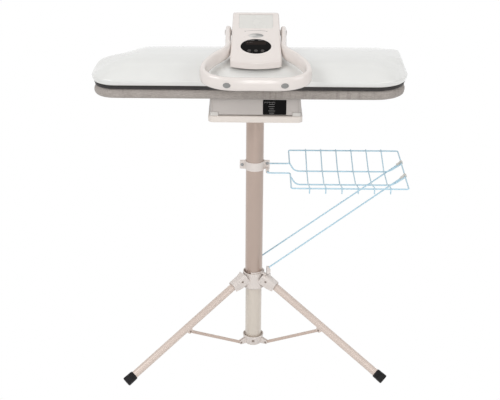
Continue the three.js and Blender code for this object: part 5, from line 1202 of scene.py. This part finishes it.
def steam_frame(side):
    """The place and turn of a steam button: across the band, up it and straight out of it."""
    at = side * STEAM_X
    near, far = next((near, far) for near, far in zip(route_line, route_line[1:])
                     if near.y < -180 and (near.x - at) * (far.x - at) <= 0)
    place = near.lerp(far, (at - near.x) / (far.x - near.x))
    along = (far - near).normalized()
    outward = Vector((along.y, -along.x, 0)).normalized()
    outward = -outward if outward.y > 0 else outward
    across = Vector((0, 0, 1)).cross(outward).normalized()
    turn = Matrix((across, outward.cross(across), outward)).transposed().to_4x4()
    return shift(*(place + outward * (BAND_THICK * 0.57 - 0.3) - Vector((0, 0, STEAM_DROP)))) @ turn


route_places = [*ROUTE, (0, -235), *[(-x, y) for x, y in ROUTE[::-1]]]
route_line = through([Vector((x, y, PIVOT_Z - BAND_FALL * (PIVOT_Y - y))) for x, y in route_places], 16)
around = zip([route_line[0], *route_line[:-1]], [*route_line[1:], route_line[-1]])
route_ahead = [(after - before).normalized() for before, after in around]
band_section = []
for step in range(40):
    angle = 2 * math.pi * (step + 0.5) / 40
    across, up = math.cos(angle), math.sin(angle)
    band_section.append((math.copysign(abs(across) ** 0.72, across) * BAND_THICK / 2,
                         math.copysign(abs(up) ** 0.78, up) * BAND_HALF))
band_rings = [band_ring(place, ahead, 1, 1 + 0.14 * clamped((-70 - place.y) / 60))
              for place, ahead in zip(route_line, route_ahead)]
band_rings = [*band_tip(0, -1)[::-1], *band_rings, *band_tip(-1, 1)]

pockets = []
steam_hole = oval(STEAM_WIDE + 2 * GAP, STEAM_HIGH + 2 * GAP, 0, 48)
button = oval_block(STEAM_WIDE, STEAM_HIGH, 0, 48, STEAM_LEVELS)
for name, way in (("left", -1), ("right", 1)):
    seat = steam_frame(way)
    pockets.append(moved(cutter(steam_hole, 9.3), seat))
    build(f"steam_key_cap_{name}", moved(button, seat), f"steam_key_{name}", grey_plastic,
          [f"steam_button_{name}"])
bolt_holes = [side_rod(way, radius, near, far, 36, CUT_EDGE)
              for radius, near, far in ((9.4, 70, 80.6), (6.3, 73.6, 99.6)) for way in (-1, 1)]
handle = cut(stacked(band_rings), *pockets, *bolt_holes)
build("handle_band", handle, "handle_loop", head_plastic, ["handle"], 40)
for name, way in (("left", -1), ("right", 1)):
    bolt_head = moved(rivet(9, 1.2), shift(way * 96.7, PIVOT_Y, PIVOT_Z) @ spin(way * QUARTER, "Y"))
    build(f"handle_screw_{name}", joined(side_rod(way, 6, 69.8, 96.4, 32, 0.3), bolt_head), "press_head",
          head_plastic, [f"handle_bolt_{name}"])
